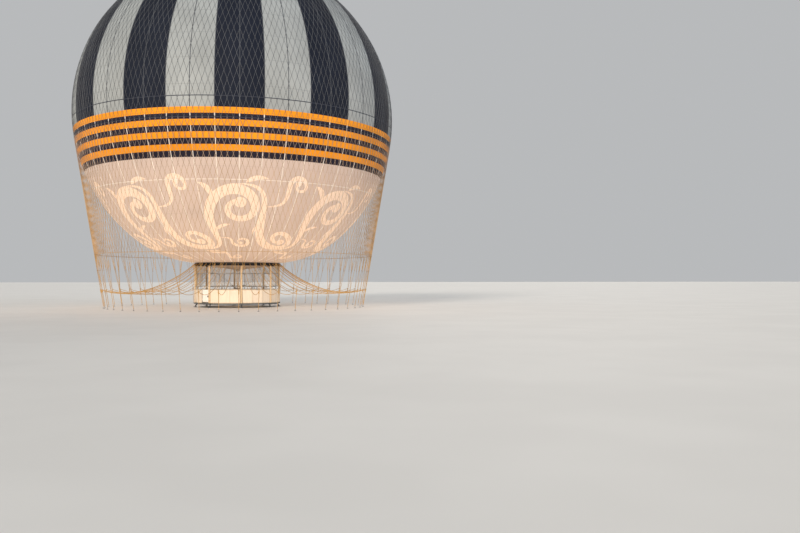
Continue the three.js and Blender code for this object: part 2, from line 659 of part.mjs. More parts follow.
postAzimuths.forEach((start, i) => {
  const gate = gateAfter(start > 180 ? start - 360 : start);
  const end = gate ? start + 2 * MODULE_STEP : start + POST_STEP;
  const panel = rectangle(faceInner, faceInner + PARAPET_THICK, deckBottom, PARAPET_TOP);
  const wall = moduleRing(panel, start + POST_MARGIN, end - (gate ? GATE_MARGIN : POST_MARGIN));
  addPiece(`parapet_${i + 1}`, CREAM, gate ? cut(wall, brackets(gate[1], GAP)) : wall);
  const half = RAIL_SIZE / 2;
  const tube = (z) => rectangle(RAIL_RADIUS - half, RAIL_RADIUS + half, z - half, z + half);
  const handrail = moduleRing(tube(HANDRAIL_Z), start, end);
  const upperRail = moduleRing(tube(UPPER_RAIL_Z), start, start + POST_STEP);
  const stanchions = [1, 2].map((turn) => {
    const { x, y } = polar(RAIL_RADIUS, start + turn * MODULE_STEP, 0);
    return upright(STANCHION / 2, FLOOR_Z + GAP, UPPER_RAIL_Z - STANCHION_SHORT, 4).translate(x, y, 0);
  });
  const parts = [handrail, upperRail, ...stanchions];
  if (gate) parts.push(...brackets(gate[1], 0));
  addPiece(`railing_${i + 1}`, ALUMINIUM, cut(joined(parts), postRooms));
});

// Gates: the leaf with an open frame above the parapets' height, the latch case inside it, and two hinge
// barrels with their webs
for (const [name, azimuth] of GATES) {
  const chord = 2 * faceMiddle * Math.sin(radians(MODULE_STEP / 2));
  const leafEnd = chord - GATE_INSET - GATE_FREE;
  const face = new THREE.Shape(rectangle(LEAF_START, leafEnd, GATE_BOTTOM, HANDRAIL_Z));
  const open = rectangle(LEAF_START + GATE_BAR, leafEnd - GATE_BAR, PARAPET_TOP, HANDRAIL_Z - GATE_BAR);
  face.holes.push(new THREE.Path(open));
  const leaf = new THREE.ExtrudeGeometry(face, { depth: GATE_THICK, bevelEnabled: false })
    .translate(0, 0, -GATE_THICK / 2)
    .rotateX(Math.PI / 2);
  const latch = new THREE.BoxGeometry(LATCH.length, LATCH.depth, LATCH.height);
  latch.translate(leafEnd - LATCH.fromEnd, LATCH.inwards, HANDRAIL_Z - LATCH.below);
  const webLength = LEAF_START + HINGE_WEB.overlap;
  const hinges = HINGE_HEIGHTS.flatMap((z) => {
    const barrel = upright(BARREL_RADIUS, z - BARREL_LENGTH / 2, z + BARREL_LENGTH / 2, 12);
    const web = new THREE.BoxGeometry(webLength, HINGE_WEB.thick, BARREL_LENGTH - HINGE_WEB.short);
    return [barrel, web.translate(webLength / 2, 0, z)];
  });
  addPiece(name, CREAM, atHinge(joined([leaf, latch, ...hinges]), azimuth));
}

export default group;
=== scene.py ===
"""Looks for a captive helium balloon with a ring gondola, laid out as an add-on that also runs as a script.

Metres, +Z up, origin at the centre of the envelope. An azimuth is in radians from -Y towards +X, and an
arc is the way down a meridian of the envelope from its equator.
"""

import math

import bpy
import numpy as np
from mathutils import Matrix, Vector


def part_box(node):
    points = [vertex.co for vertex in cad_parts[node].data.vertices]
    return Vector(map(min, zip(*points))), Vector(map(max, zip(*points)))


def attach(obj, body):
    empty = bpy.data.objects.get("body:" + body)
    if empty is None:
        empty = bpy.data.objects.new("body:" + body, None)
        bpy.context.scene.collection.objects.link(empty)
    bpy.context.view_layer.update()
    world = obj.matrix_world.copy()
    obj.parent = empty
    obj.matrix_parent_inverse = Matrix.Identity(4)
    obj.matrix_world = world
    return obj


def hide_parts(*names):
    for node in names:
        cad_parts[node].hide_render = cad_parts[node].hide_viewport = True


bl_info = {
    "name": "Captive balloon looks",
    "version": (1, 0, 0),
    "blender": (4, 5, 0),
    "location": "3D View > Sidebar > Balloon",
    "description": "Dresses a packed captive balloon with its fabric, net, lines, gondola and studio",
    "category": "Object",
}

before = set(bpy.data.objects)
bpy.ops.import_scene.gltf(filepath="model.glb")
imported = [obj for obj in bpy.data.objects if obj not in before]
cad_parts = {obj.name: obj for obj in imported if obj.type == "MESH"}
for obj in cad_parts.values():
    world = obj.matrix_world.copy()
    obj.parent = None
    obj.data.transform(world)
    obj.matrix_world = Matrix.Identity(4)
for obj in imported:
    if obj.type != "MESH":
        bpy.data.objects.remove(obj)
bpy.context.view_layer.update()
UP = np.array([0.0, 0.0, 1.0])
AXIS = np.zeros(3)
TURN = 2 * math.pi


def corners_of(node):
    """The corners of a CAD node as an array of places."""
    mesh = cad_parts[node].data
    places = np.empty(len(mesh.vertices) * 3, np.float32)
    mesh.vertices.foreach_get("co", places)
    return places.reshape(-1, 3).astype(float)


def reach_of(node):
    """How far a CAD node stands out from the upright axis."""
    return float(np.hypot(*corners_of(node)[:, :2].T).max())


def heights_of(node):
    """The lowest and highest height of a CAD node."""
    low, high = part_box(node)
    return low.z, high.z


# Sizes that the frame gives
RADIUS = reach_of("gores_navy")
GROUND = heights_of("chassis")[0]
FLOOR = heights_of("deck")[1]
RING_BOTTOM, RING_TOP = heights_of("load_ring")
RING_OUTER = reach_of("load_ring")
PARAPET_BOTTOM, PARAPET_TOP = heights_of("parapet_1")
PARAPET_OUTER = reach_of("parapet_1")
HANDRAIL = heights_of("gate_front")[1]
BELLY_BOTTOM = heights_of("lower_dome")[0]

# Sizes that the part's source shares with this script
MODULES = 24
MODULE_STEP = TURN / MODULES
MODULE_START = math.radians(4.8)
POSTS = 8
POST_STEP = TURN / POSTS
SECTION = MODULES // POSTS
POST_RING = 3.0
POST_MARGIN = math.radians(1.6)
RAIL_RADIUS = 2.955
UPPER_RAIL = -11.14
GUARD_RADIUS = 1.735
CURTAIN_TOP = (11.112, -1.925)
CURTAIN_FOOT = (9.18, -13.4)
CURTAIN_HEM = -9.85
APEX_HEIGHT = -12.3
LINES = 48
LUG_HEIGHT = -10.485
CROWN_HOLE = 0.6
CROWN_RING = (0.44, 0.64)
DOME_SPHERE_END = -8.7
SEAT_RISE = 0.0345
SEAT_SLOPE = math.radians(5)
PORT_HOLE = 0.4
SWIVEL_TOP = -12.32
SWIVEL_BOTTOM = -12.95
LATCH_BELOW = 0.675
HINGE_HEIGHTS = (-12.95, -12.45)
GATE_INSET = 0.055
GATE_FREE = 0.085
FACE_MIDDLE = 3.0006

# Each gate and the module that it fills
GATES = (("gate_front", -4), ("gate_rear", 8))

# Rows of the fabric: their step on the sphere and, from the haunch's arc on, where it bends in towards the
# load ring. No row lies closer than the margin to an end.
ROW_STEP = 0.22
HAUNCH_ARC = 12.2
HAUNCH_STEP = 0.09
ROW_MARGIN = 0.03

# The radii between which the fabric's bulges grow from nothing to full
BULGE_RADII = (3.3, 4.8)

# Where the belly's slope changes: its radius and its share of the way from the seat down to the port
KNEE_RADIUS = 1.7
KNEE_SHARE = 0.7

# Zones of the net: what share of its columns is left, the radius at its top and that at its foot, where the
# first goes down to the curtain
NET_ZONES = ((1, 6.0, None), (2, 3.4, 6.0), (4, 1.9, 3.4))

# Heights of the crow's feet's joins and places of the two points that pull the slack lines down
JOIN_HEIGHT = -10.95
SAG_POINTS = ((4.7, -11.9), (7.3, -13.05))

# How far the tapes and the print stand off the fabric, so that neither cuts into the other
TAPE_LIFT = 0.007
RING_TAPE_LIFT = 0.003
PRINT_LIFT = 0.003
EYE_LIFT = 0.004

# Radius of the crown's reinforcing patch
PATCH_RADIUS = 1.32

# Inside of the load ring, and the toe board's inner and outer radius and height
RING_INNER = 2.93
TOE_BOARD = (2.94, 2.95, 0.09)

# Radius of the gates' frame tube and the way from the hinge axis to the leaf's edge
GATE_TUBE = 0.0145
LEAF_START = 0.022

# The hole of the swivel's eye: its height and radius
EYE_HEIGHT = -12.84
EYE_HOLE = 0.035

# The legs' pads: how far out they stand and how high their top is
PAD_RADIUS = 3.01
PAD_TOP = 0.03

# Half the width of the studio floor, how far the camera sees and how bright the sky is
FLOOR_REACH = 400.0
VIEW_END = 2000.0
SKY_STRENGTH = 0.62


def linear(code):
    """The linear colour of an sRGB code: each channel over 255, and then the sRGB curve undone."""
    channels = [int(code[i : i + 2], 16) / 255 for i in (0, 2, 4)]
    return (*[c / 12.92 if c <= 0.04045 else ((c + 0.055) / 1.055) ** 2.4 for c in channels], 1.0)


def length_size(name, description, default):
    """A property for a length in metres."""
    return bpy.props.FloatProperty(name=name, description=description, default=default, unit="LENGTH")


def angle_size(name, description, degrees):
    """A property for an angle, whose default is given in degrees."""
    default = math.radians(degrees)
    return bpy.props.FloatProperty(name=name, description=description, default=default, subtype="ANGLE")


def number_size(name, description, default):
    """A property for a number of things."""
    return bpy.props.IntProperty(name=name, description=description, default=default)


def colour_choice(name, description, code):
    """A property for a colour, whose default is given as an sRGB code."""
    return bpy.props.FloatVectorProperty(
        name=name, description=description, default=linear(code), size=4, min=0.0, max=1.0, subtype="COLOR"
    )


class EnvelopeLook(bpy.types.PropertyGroup):
    """Sizes of the envelope's fabric, tapes and printed scrolls."""

    stripes: number_size("Stripes", "Navy and pale gores together", 24)
    first_stripe: angle_size("First stripe", "Azimuth where a navy stripe starts", -7.1)
    bulge: length_size("Bulge", "How far the fabric stands out between two tapes", 0.014)
    belt_top: length_size("Belt top", "Height of the belt's upper edge", -1.34)
    band_step: length_size("Band step", "Height from one gold band to the next", 0.713)
    gold_height: length_size("Gold band height", "Height of a gold band", 0.364)
    tape_width: length_size("Load tape width", "Width of the load tapes", 0.05)
    seam_width: length_size("Seam tape width", "Width of the tapes over the gore seams", 0.045)
    upper_ring: length_size("Upper ring tape", "Height of the ring tape above the belt", -0.69)
    lower_ring: length_size("Lower ring tape", "Height of the ring tape on the dome", -5.46)
    motifs: number_size("Scroll units", "Units of the frieze round the dome", 8)


class NetLook(bpy.types.PropertyGroup):
    """Sizes of the rope net, the curtain and the lines."""

    columns: number_size("Columns", "Meshes round the balloon", 192)
    mesh_height: length_size("Row height", "Height from one row of knots to the next", 0.54)
    strand: length_size("Strand radius", "Radius of the net's cords", 0.008)
    curtain_strand: length_size("Curtain strand radius", "Radius of the curtain's cords", 0.011)
    line: length_size("Line radius", "Radius of the lines below the hem", 0.016)


class GondolaLook(bpy.types.PropertyGroup):
    """Sizes of the gondola's tubes, sleeves and netting."""

    tube: length_size("Handrail radius", "Radius of the handrail tube", 0.022)
    stanchion: length_size("Stanchion radius", "Radius of the upright tubes", 0.02)
    sleeve: length_size("Sleeve radius", "Radius of the padded post sleeves", 0.069)
    netting: length_size("Netting mesh", "Width of a mesh of the safety netting", 0.1)


class ColourLook(bpy.types.PropertyGroup):
    """Colours of the fabric, the tapes, the ropes, the gondola's cloths and the floor."""

    navy: colour_choice("Navy stripes", "Fabric of the dark gores", "0f1728")
    pale: colour_choice("Pale stripes", "Fabric of the light gores", "a3a9ab")
    belt_gold: colour_choice("Gold bands", "Fabric of the belt's gold bands", "f09a1c")
    # Painted warm light: the belt's dark bands are the gores' navy fabric made lighter and warmer, as if lit
    # from below
    belt_navy_lit: colour_choice("Navy bands", "Fabric of the belt's dark bands", "1e1b2c")
    dome: colour_choice("Dome", "Fabric of the lower dome", "d0bfb7")
    scroll: colour_choice("Scroll print", "Ink of the printed scrolls", "f5dfcd")
    seam_tape: colour_choice("Seam tapes", "Tapes over the gore seams and the crown's patch", "474c54")
    load_tape: colour_choice("Load tapes", "Load tapes over navy and the dome", "f2ebe4")
    gold_tape: colour_choice("Gold load tapes", "Load tapes over the gold bands", "f4a93a")
    net: colour_choice("Net", "Cords of the net over the envelope", "666a70")
    curtain: colour_choice("Curtain", "Cords and hem rope of the net curtain", "b69874")
    curtain_top: colour_choice("Curtain top", "The curtain's cords near its head rope", "98867a")
    rope: colour_choice("Lines", "Mooring lines and slack lines", "b8935c")
    parapet: colour_choice("Parapet", "Cloth of the parapet and the inner guard", "eddfcb")
    gate: colour_choice("Gates", "Cloth and frame of the gates", "f7f3ec")
    sleeve: colour_choice("Sleeves", "Covers and straps of the post sleeves", "dcc29c")
    netting: colour_choice("Safety netting", "Cords of the safety netting", "cbb79a")
    floor: colour_choice("Floor", "The studio floor", "dcdcda")


class StageLook(bpy.types.PropertyGroup):
    """The studio's camera."""

    lens: bpy.props.FloatProperty(
        name="Lens", description="Focal length on a 36 mm sensor", default=35.0, subtype="DISTANCE_CAMERA"
    )
    distance: length_size("Distance", "Camera's way in front of the axis", 58.13)
    height: length_size("Height", "Camera's height in the frame", -11.51)
    yaw: angle_size("Yaw", "Turn of the view to the right", 11.78)
    pitch: angle_size("Pitch", "Tilt of the view upwards", 0.89)


# Colours of the hardware, the small trims and the sky
DARK_TAPE = linear("2a3040")
HEAD_ROPE = linear("4a5060")
BATTEN = linear("d9cbb2")
STEEL_DARK = linear("3c3e42")
STEEL_GREY = linear("8b8e92")
ZINC = linear("74777a")
BRASS = linear("8c7b52")
ALUMINIUM = linear("b9bbbd")
DECKING = linear("6f6a60")
RUBBER = linear("1b1b1c")
SKY = linear("e4e6e8")

# Studio lights: name, direction, strength, how many degrees they are across, colour
LIGHTS = (
    ("key", (0.55, 0.9, -0.45), 2.0, 18, "fff4e6"),
    ("fill", (-0.8, 0.6, -0.2), 0.6, 40, "eef3ff"),
    ("lift", (0.1, 0.6, 0.8), 2.0, 50, "ffe0bb"),
    ("back", (-0.3, -0.9, -0.3), 1.0, 40, "fff6ec"),
)


def shade(tone, share):
    """A linear colour made darker by a share under 1 or lighter by one over 1."""
    return (*[min(channel * share, 1.0) for channel in tone[:3]], 1.0)


def put(tree, kind, inputs=None, **settings):
    """Adds a node with its settings, its inputs filled from values or from other nodes' outputs."""
    node = tree.nodes.new(kind)
    for name, value in settings.items():
        setattr(node, name, value)
    for key, value in (inputs or {}).items():
        if isinstance(value, bpy.types.NodeSocket):
            tree.links.new(value, node.inputs[key])
        else:
            node.inputs[key].default_value = value
    return node


class Paint:
    """A material while it is made: its tree, its shader and the coordinates that its patterns use."""

    def __init__(self, name, roughness, metallic=0.0):
        self.material = bpy.data.materials.new(name)
        self.material.use_nodes = True
        self.tree = self.material.node_tree
        self.shader = self.tree.nodes["Principled BSDF"]
        self.shader.inputs["Roughness"].default_value = roughness
        self.shader.inputs["Metallic"].default_value = metallic
        coordinates = put(self.tree, "ShaderNodeTexCoord")
        self.place = coordinates.outputs["Object"]
        self.uv = coordinates.outputs["UV"]

    def math(self, operation, first, second=0.0):
        """A number worked out from two others."""
        inputs = {0: first, 1: second}
        return put(self.tree, "ShaderNodeMath", inputs, operation=operation).outputs[0]

    def stretched(self, vector, scale):
        """Coordinates multiplied by a scale for each axis."""
        inputs = {0: vector, 1: scale}
        return put(self.tree, "ShaderNodeVectorMath", inputs, operation="MULTIPLY").outputs[0]

    def noise(self, size, detail=3.0, vector=None):
        """Noise whose patches are about size metres across."""
        inputs = {"Vector": vector or self.place, "Scale": 1 / size, "Detail": detail}
        return put(self.tree, "ShaderNodeTexNoise", inputs).outputs[0]

    def stripe(self, coordinate, period, share):
        """1 on a line of that share of each period of a coordinate and 0 beside it."""
        folded = self.math("PINGPONG", self.math("DIVIDE", coordinate, period), 0.5)
        return self.math("LESS_THAN", folded, share / 2)

    def mixed(self, share, first, second):
        """One colour going over to another by a share."""
        inputs = {0: share, 6: first, 7: second}
        return put(self.tree, "ShaderNodeMix", inputs, data_type="RGBA").outputs[2]

    def axes(self, vector):
        """The three numbers of a vector."""
        return put(self.tree, "ShaderNodeSeparateXYZ", {0: vector}).outputs

    def spread(self, value, low, high, start=0.35, end=0.65):
        """A value between start and end taken to the range from low to high."""
        inputs = {0: value, 1: start, 2: end, 3: low, 4: high}
        return put(self.tree, "ShaderNodeMapRange", inputs).outputs[0]

    def bumped(self, height, depth, base=None):
        """A surface whose normals follow a height of that depth in metres."""
        inputs = {"Height": height, "Distance": depth, "Strength": 1.0}
        if base:
            inputs["Normal"] = base
        return put(self.tree, "ShaderNodeBump", inputs).outputs[0]

    def done(self, colour=None, normal=None, roughness=None):
        """Links what the patterns gave to the shader and returns the material."""
        for socket, value in (("Base Color", colour), ("Normal", normal), ("Roughness", roughness)):
            if value:
                self.tree.links.new(value, self.shader.inputs[socket])
        return self.material


def coated_fabric(name, tone, dirt=0.82, seam=0.72):
    """Coated balloon fabric: welded panel joints, soft clouding, long wrinkles and a fine weave."""
    paint = Paint(name, 0.55)
    paint.shader.inputs["Specular IOR Level"].default_value = 0.2
    paint.shader.inputs["Sheen Weight"].default_value = 0.03
    across, down, _ = paint.axes(paint.uv)
    cloud = paint.spread(paint.noise(2.6, 4.0), 0.0, 1.0)
    colour = paint.mixed(cloud, tone, shade(tone, dirt))
    joint = paint.math("MAXIMUM", paint.stripe(across, 1.0, 0.02), paint.stripe(down, 1.62, 0.015))
    colour = paint.mixed(joint, colour, shade(tone, seam))
    wrinkle = paint.noise(0.9, 4.0, paint.stretched(paint.place, (1.0, 1.0, 0.45)))
    weave = paint.noise(0.006, 1.0)
    normal = paint.bumped(weave, 0.0004, paint.bumped(wrinkle, 0.024))
    return paint.done(colour, normal, paint.spread(cloud, 0.62, 0.74, 0.0, 1.0))


def tape_webbing(name, tone):
    """Woven webbing: fine ribs across the tape and slight soiling."""
    paint = Paint(name, 0.75)
    soiled = paint.spread(paint.noise(0.7), 0.0, 1.0)
    ribs = paint.noise(0.004, 1.0, paint.stretched(paint.place, (1.0, 1.0, 3.0)))
    return paint.done(paint.mixed(soiled, tone, shade(tone, 0.8)), paint.bumped(ribs, 0.001))


def printed_ink(name, tone):
    """Matt print on the fabric, a little worn where the weave stands up."""
    paint = Paint(name, 0.6)
    worn = paint.spread(paint.noise(0.25, 5.0), 0.0, 1.0, 0.45, 0.75)
    wrinkle = paint.noise(0.9, 4.0, paint.stretched(paint.place, (1.0, 1.0, 0.45)))
    return paint.done(paint.mixed(worn, tone, shade(tone, 0.86)), paint.bumped(wrinkle, 0.035))


def laid_rope(name, tone, strands=3.0, lay=0.09):
    """Three-strand rope: the strands wind round it once in each lay, with painted shade in the grooves
    between them.
    """
    paint = Paint(name, 0.85)
    around, along, _ = paint.axes(paint.uv)
    wound = paint.math("MULTIPLY", around, strands)
    turns = paint.math("ADD", wound, paint.math("DIVIDE", along, lay / strands))
    groove = paint.math("PINGPONG", turns, 0.5)
    # Painted shade: the colour darkens in the grooves between the strands
    colour = paint.mixed(paint.spread(groove, 0.0, 1.0, 0.0, 0.3), shade(tone, 0.55), tone)
    faded = paint.mixed(paint.spread(paint.noise(1.3), 0.0, 0.5), colour, shade(tone, 1.25))
    return paint.done(faded, paint.bumped(groove, 0.004))


def net_cord(name, tone, upper=None, span=(0.0, 1.0)):
    """Thin braided cord of the net, lighter where the weather has bleached it. Over a span of heights it can
    go over to another colour."""
    paint = Paint(name, 0.9)
    bleached = paint.spread(paint.noise(1.7, 4.0), 0.0, 1.0)
    braid = paint.noise(0.01, 2.0)
    colour = paint.mixed(bleached, shade(tone, 0.82), shade(tone, 1.15))
    if upper:
        _, _, height = paint.axes(paint.place)
        colour = paint.mixed(paint.spread(height, 0.0, 1.0, *span), colour, upper)
    return paint.done(colour, paint.bumped(braid, 0.002))


def metal(name, tone, roughness=0.42, metallic=0.85, patch=0.12):
    """Metal with a spangled or brushed finish: patches differ in tone and gloss, with fine scratches."""
    paint = Paint(name, roughness, metallic)
    patches = paint.spread(paint.noise(patch, 5.0), 0.0, 1.0)
    scratches = paint.noise(0.008, 2.0, paint.stretched(paint.place, (1.0, 1.0, 12.0)))
    colour = paint.mixed(patches, tone, shade(tone, 0.75))
    gloss = paint.spread(patches, roughness - 0.08, roughness + 0.14, 0.0, 1.0)
    return paint.done(colour, paint.bumped(scratches, 0.0002), gloss)


def powder_coat(name, tone):
    """Powder-coated tube: a fine dimpled skin with a few small chips that show a darker ground."""
    paint = Paint(name, 0.4)
    chips = paint.spread(paint.noise(0.03, 5.0), 0.0, 1.0, 0.68, 0.72)
    skin = paint.noise(0.003, 1.0)
    return paint.done(paint.mixed(chips, tone, shade(tone, 0.6)), paint.bumped(skin, 0.0003))


def panel_vinyl(name, tone):
    """Coated panel cloth: rain streaks down it, faint creases and a fine grain."""
    paint = Paint(name, 0.5)
    runs = paint.noise(0.12, 4.0, paint.stretched(paint.place, (1.0, 1.0, 0.12)))
    streaks = paint.spread(runs, 0.0, 1.0, 0.45, 0.8)
    _, _, height = paint.axes(paint.place)
    foot = paint.spread(height, 0.5, 0.0, PARAPET_BOTTOM, PARAPET_BOTTOM + 0.3)
    soiled = paint.math("ADD", paint.math("MULTIPLY", streaks, 0.6), paint.math("MULTIPLY", foot, streaks))
    crease = paint.noise(0.35, 3.0)
    grain = paint.noise(0.003, 1.0)
    normal = paint.bumped(grain, 0.0003, paint.bumped(crease, 0.02))
    return paint.done(paint.mixed(soiled, tone, shade(tone, 0.78)), normal)


def sleeve_vinyl(name, tone):
    """Padded sleeve cover: grained vinyl, with painted shade in the hollows of its folds and painted light on
    their crests.
    """
    paint = Paint(name, 0.6)
    folds = paint.noise(0.11, 4.0, paint.stretched(paint.place, (1.0, 1.0, 2.2)))
    grain = paint.noise(0.004, 2.0)
    # Painted shade in the folds' hollows and painted light on their crests, following the folds' bump
    colour = paint.mixed(paint.spread(folds, 0.0, 1.0), shade(tone, 0.84), shade(tone, 1.05))
    return paint.done(colour, paint.bumped(grain, 0.0006, paint.bumped(folds, 0.012)))


def tread_plate(name, tone):
    """Deck plate with raised bars that cross on the diagonal, rubbed bright on top and dusty between."""
    paint = Paint(name, 0.5, 0.55)
    along, across, _ = paint.axes(paint.place)
    pitch = 0.05
    first = paint.math("PINGPONG", paint.math("DIVIDE", paint.math("ADD", along, across), pitch), 0.5)
    second = paint.math("PINGPONG", paint.math("DIVIDE", paint.math("SUBTRACT", along, across), pitch), 0.5)
    raised = paint.math("GREATER_THAN", paint.math("MULTIPLY", first, second), 0.12)
    dust = paint.spread(paint.noise(0.4, 5.0), 0.0, 1.0)
    colour = paint.mixed(dust, paint.mixed(raised, shade(tone, 0.8), shade(tone, 1.35)), shade(tone, 1.1))
    return paint.done(colour, paint.bumped(raised, 0.003))


def rubber(name, tone):
    """Dull black rubber with a dusty bloom."""
    paint = Paint(name, 0.85)
    bloom = paint.spread(paint.noise(0.08, 4.0), 0.0, 1.0)
    colour = paint.mixed(bloom, tone, shade(tone, 2.2))
    return paint.done(colour, paint.bumped(paint.noise(0.01), 0.001))


def unit(vectors):
    """Vectors shortened or stretched to length 1."""
    return vectors / np.linalg.norm(vectors, axis=-1, keepdims=True)


def polar(radius, azimuth, z):
    """Places from radii, azimuths and heights: (r sin a, -r cos a, z)."""
    radius, azimuth, z = np.broadcast_arrays(radius, azimuth, z)
    return np.stack([radius * np.sin(azimuth), -radius * np.cos(azimuth), z], -1).astype(float)


def outward(azimuth):
    """The level direction away from the axis at azimuths."""
    return polar(1.0, azimuth, 0.0)


def sideways(azimuth):
    """The level direction round the axis, towards higher azimuths."""
    return outward(azimuth + math.pi / 2)


def ring_azimuths(count, start=0.0, shift=0.0):
    """Azimuths of count places evenly round the axis, moved on by a share of their step."""
    return start + (np.arange(count) + shift) * TURN / count


def grid_faces(rows, columns):
    """Quads over rows of places, each going down its rows first and then along them."""
    i, j = np.meshgrid(np.arange(rows - 1), np.arange(columns - 1), indexing="ij")
    here = i * columns + j
    below = here + columns
    return np.stack([here, below, below + 1, here + 1], -1).reshape(-1, 4)


class Shape:
    """Places and faces gathered from whole arrays and made into one object."""

    def __init__(self):
        self.places = []
        self.loops = []
        self.sizes = []
        self.uvs = []
        self.slots = []
        self.smooth = []
        self.count = 0

    def add(self, places, faces, uv=None, slot=0, smooth=True):
        """Adds places (n, 3) and faces (m, corners) that count from the first of them. uv is a pair for
        each place or for each corner of each face."""
        faces = np.asarray(faces)
        corners = faces.shape[-1]
        faces = faces.reshape(-1, corners)
        if uv is None:
            uv = np.zeros((len(faces), corners, 2))
        elif np.ndim(uv) == 2:
            uv = uv[faces]
        self.places.append(np.reshape(places, (-1, 3)))
        self.loops.append((faces + self.count).ravel())
        self.sizes.append(np.full(len(faces), corners))
        self.uvs.append(np.reshape(uv, (-1, 2)))
        self.slots.append(np.full(len(faces), slot))
        self.smooth.append(np.full(len(faces), smooth))
        self.count += self.places[-1].shape[0]
        return self

    def close(self, faces, count, slot=0):
        """Adds flat faces that count from the first of the last count places."""
        self.count -= count
        self.add(np.empty((0, 3)), faces, None, slot, False)
        self.count += count

    def made(self, name, *materials):
        """The object of all that was added."""
        mesh = bpy.data.meshes.new(name)
        places = np.concatenate(self.places).astype(np.float32)
        loops = np.concatenate(self.loops).astype(np.int32)
        sizes = np.concatenate(self.sizes)
        starts = np.concatenate([[0], np.cumsum(sizes)[:-1]]).astype(np.int32)
        mesh.vertices.add(len(places))
        mesh.vertices.foreach_set("co", places.ravel())
        mesh.loops.add(len(loops))
        mesh.loops.foreach_set("vertex_index", loops)
        mesh.polygons.add(len(sizes))
        mesh.polygons.foreach_set("loop_start", starts)
        mesh.polygons.foreach_set("material_index", np.concatenate(self.slots).astype(np.int32))
        mesh.polygons.foreach_set("use_smooth", np.concatenate(self.smooth))
        layer = mesh.uv_layers.new(name="surface")
        layer.uv.foreach_set("vector", np.concatenate(self.uvs).astype(np.float32).ravel())
        mesh.update(calc_edges=True)
        if mesh.validate():
            raise RuntimeError(f"{name} had faces that Blender had to mend")
        for material in materials:
            mesh.materials.append(material)
        piece = bpy.data.objects.new(name, mesh)
        bpy.context.scene.collection.objects.link(piece)
        return piece


def sweep(shape, paths, side, up, section, closed=False, caps=True, slot=0, smooth=True, lengths=None):
    """Carries a section along many paths. paths, side and up are (count, points, 3), and side x up points
    along the path. A section corner (a, b) lies at path + a side + b up."""
    count, points = paths.shape[:2]
    section = np.broadcast_to(section, (count, points, *np.shape(section)[-2:]))
    corners = section.shape[2]
    places = paths[:, :, None] + side[:, :, None] * section[..., :1] + up[:, :, None] * section[..., 1:]
    rings = points if closed else points - 1
    i, j = np.meshgrid(np.arange(rings), np.arange(corners), indexing="ij")
    here, there = i * corners, (i + 1) % points * corners
    k = (j + 1) % corners
    faces = np.stack([here + j, here + k, there + k, there + j], -1).reshape(-1, 4)
    copies = (np.arange(count) * points * corners)[:, None, None]
    if lengths is None:
        following = np.roll(paths, -1, 1)
        steps = np.linalg.norm(following - paths, axis=-1)
        lengths = np.concatenate([np.zeros((count, 1)), np.cumsum(steps, 1)], 1)
    lengths = np.broadcast_to(lengths, (count, points + 1))
    around = np.stack([j, j + 1, j + 1, j], -1).reshape(-1, 4) / corners
    along = np.stack([lengths[:, i], lengths[:, i], lengths[:, i + 1], lengths[:, i + 1]], -1)
    uv = np.stack([np.broadcast_to(around, (count, *around.shape)), along.reshape(count, -1, 4)], -1)
    shape.add(places, faces[None] + copies, uv.reshape(-1, 4, 2), slot, smooth)
    if caps and not closed:
        ring = np.arange(corners)
        ends = np.stack([ring[::-1], ring + (points - 1) * corners])
        shape.close(ends[None] + copies, count * points * corners, slot)
    return shape


def round_section(radius, sides):
    """A regular polygon of corners round the path, for one radius or for one at each point."""
    angle = np.arange(sides) * TURN / sides
    return np.asarray(radius)[..., None, None] * np.stack([np.cos(angle), np.sin(angle)], -1)


def tubes(shape, paths, radius, sides=8, reference=UP, closed=False, **options):
    """Round tubes along many paths at once. The reference direction may not lie along a path."""
    paths = np.asarray(paths, float)
    if closed:
        along = np.roll(paths, -1, 1) - np.roll(paths, 1, 1)
    else:
        along = np.gradient(paths, axis=1)
    along = unit(along)
    side = unit(np.cross(np.broadcast_to(reference, along.shape), along))
    up = np.cross(along, side)
    return sweep(shape, paths, side, up, round_section(radius, sides), closed, **options)


def rods(shape, starts, ends, radius, sides=8, reference=UP, **options):
    """Straight round bars between many starts and ends."""
    paths = np.stack([np.reshape(starts, (-1, 3)), np.reshape(ends, (-1, 3))], 1)
    return tubes(shape, paths, radius, sides, reference, **options)


def links(shape, middles, along, across, wide, tall, thick, points=12, sides=6, slot=0):
    """Upright oval rings of round wire. They reach wide along one level direction and tall upwards from their
    middles, and across is the level direction square to the first."""
    turn = np.arange(points) * TURN / points
    level = along[:, None] * (wide * np.cos(turn))[:, None]
    paths = middles[:, None] + level + UP * (tall * np.sin(turn))[:, None]
    return tubes(shape, paths, thick, sides, across[:, None], closed=True, slot=slot)


def turned(shape, outline, azimuths, whole=True, slot=0, smooth=True):
    """Carries a closed outline of (radius, height) round the axis, with a section at each azimuth."""
    outline = np.asarray(outline, float)
    after = np.roll(outline, -1, 0)
    if np.sum(outline[:, 0] * after[:, 1] - after[:, 0] * outline[:, 1]) > 0:
        outline = outline[::-1]
    paths = np.zeros((1, len(azimuths), 3))
    side = np.broadcast_to(UP, paths.shape)
    lengths = np.append(azimuths, azimuths[0] + TURN if whole else azimuths[-1]) * outline[:, 0].max()
    section = outline[:, ::-1]
    return sweep(shape, paths, side, outward(azimuths)[None], section, whole, True, slot, smooth, lengths)


def lathed(shape, centre, outline, sides=24, slot=0, smooth=True):
    """Carries a closed outline of (radius, height) round an upright line through a centre."""
    part = Shape()
    turned(part, outline, ring_azimuths(sides), slot=slot, smooth=smooth)
    return shape.add(
        part.places[0] + np.asarray(centre, float),
        part.loops[0].reshape(-1, 4),
        part.uvs[0].reshape(-1, 4, 2),
        slot,
        smooth,
    )


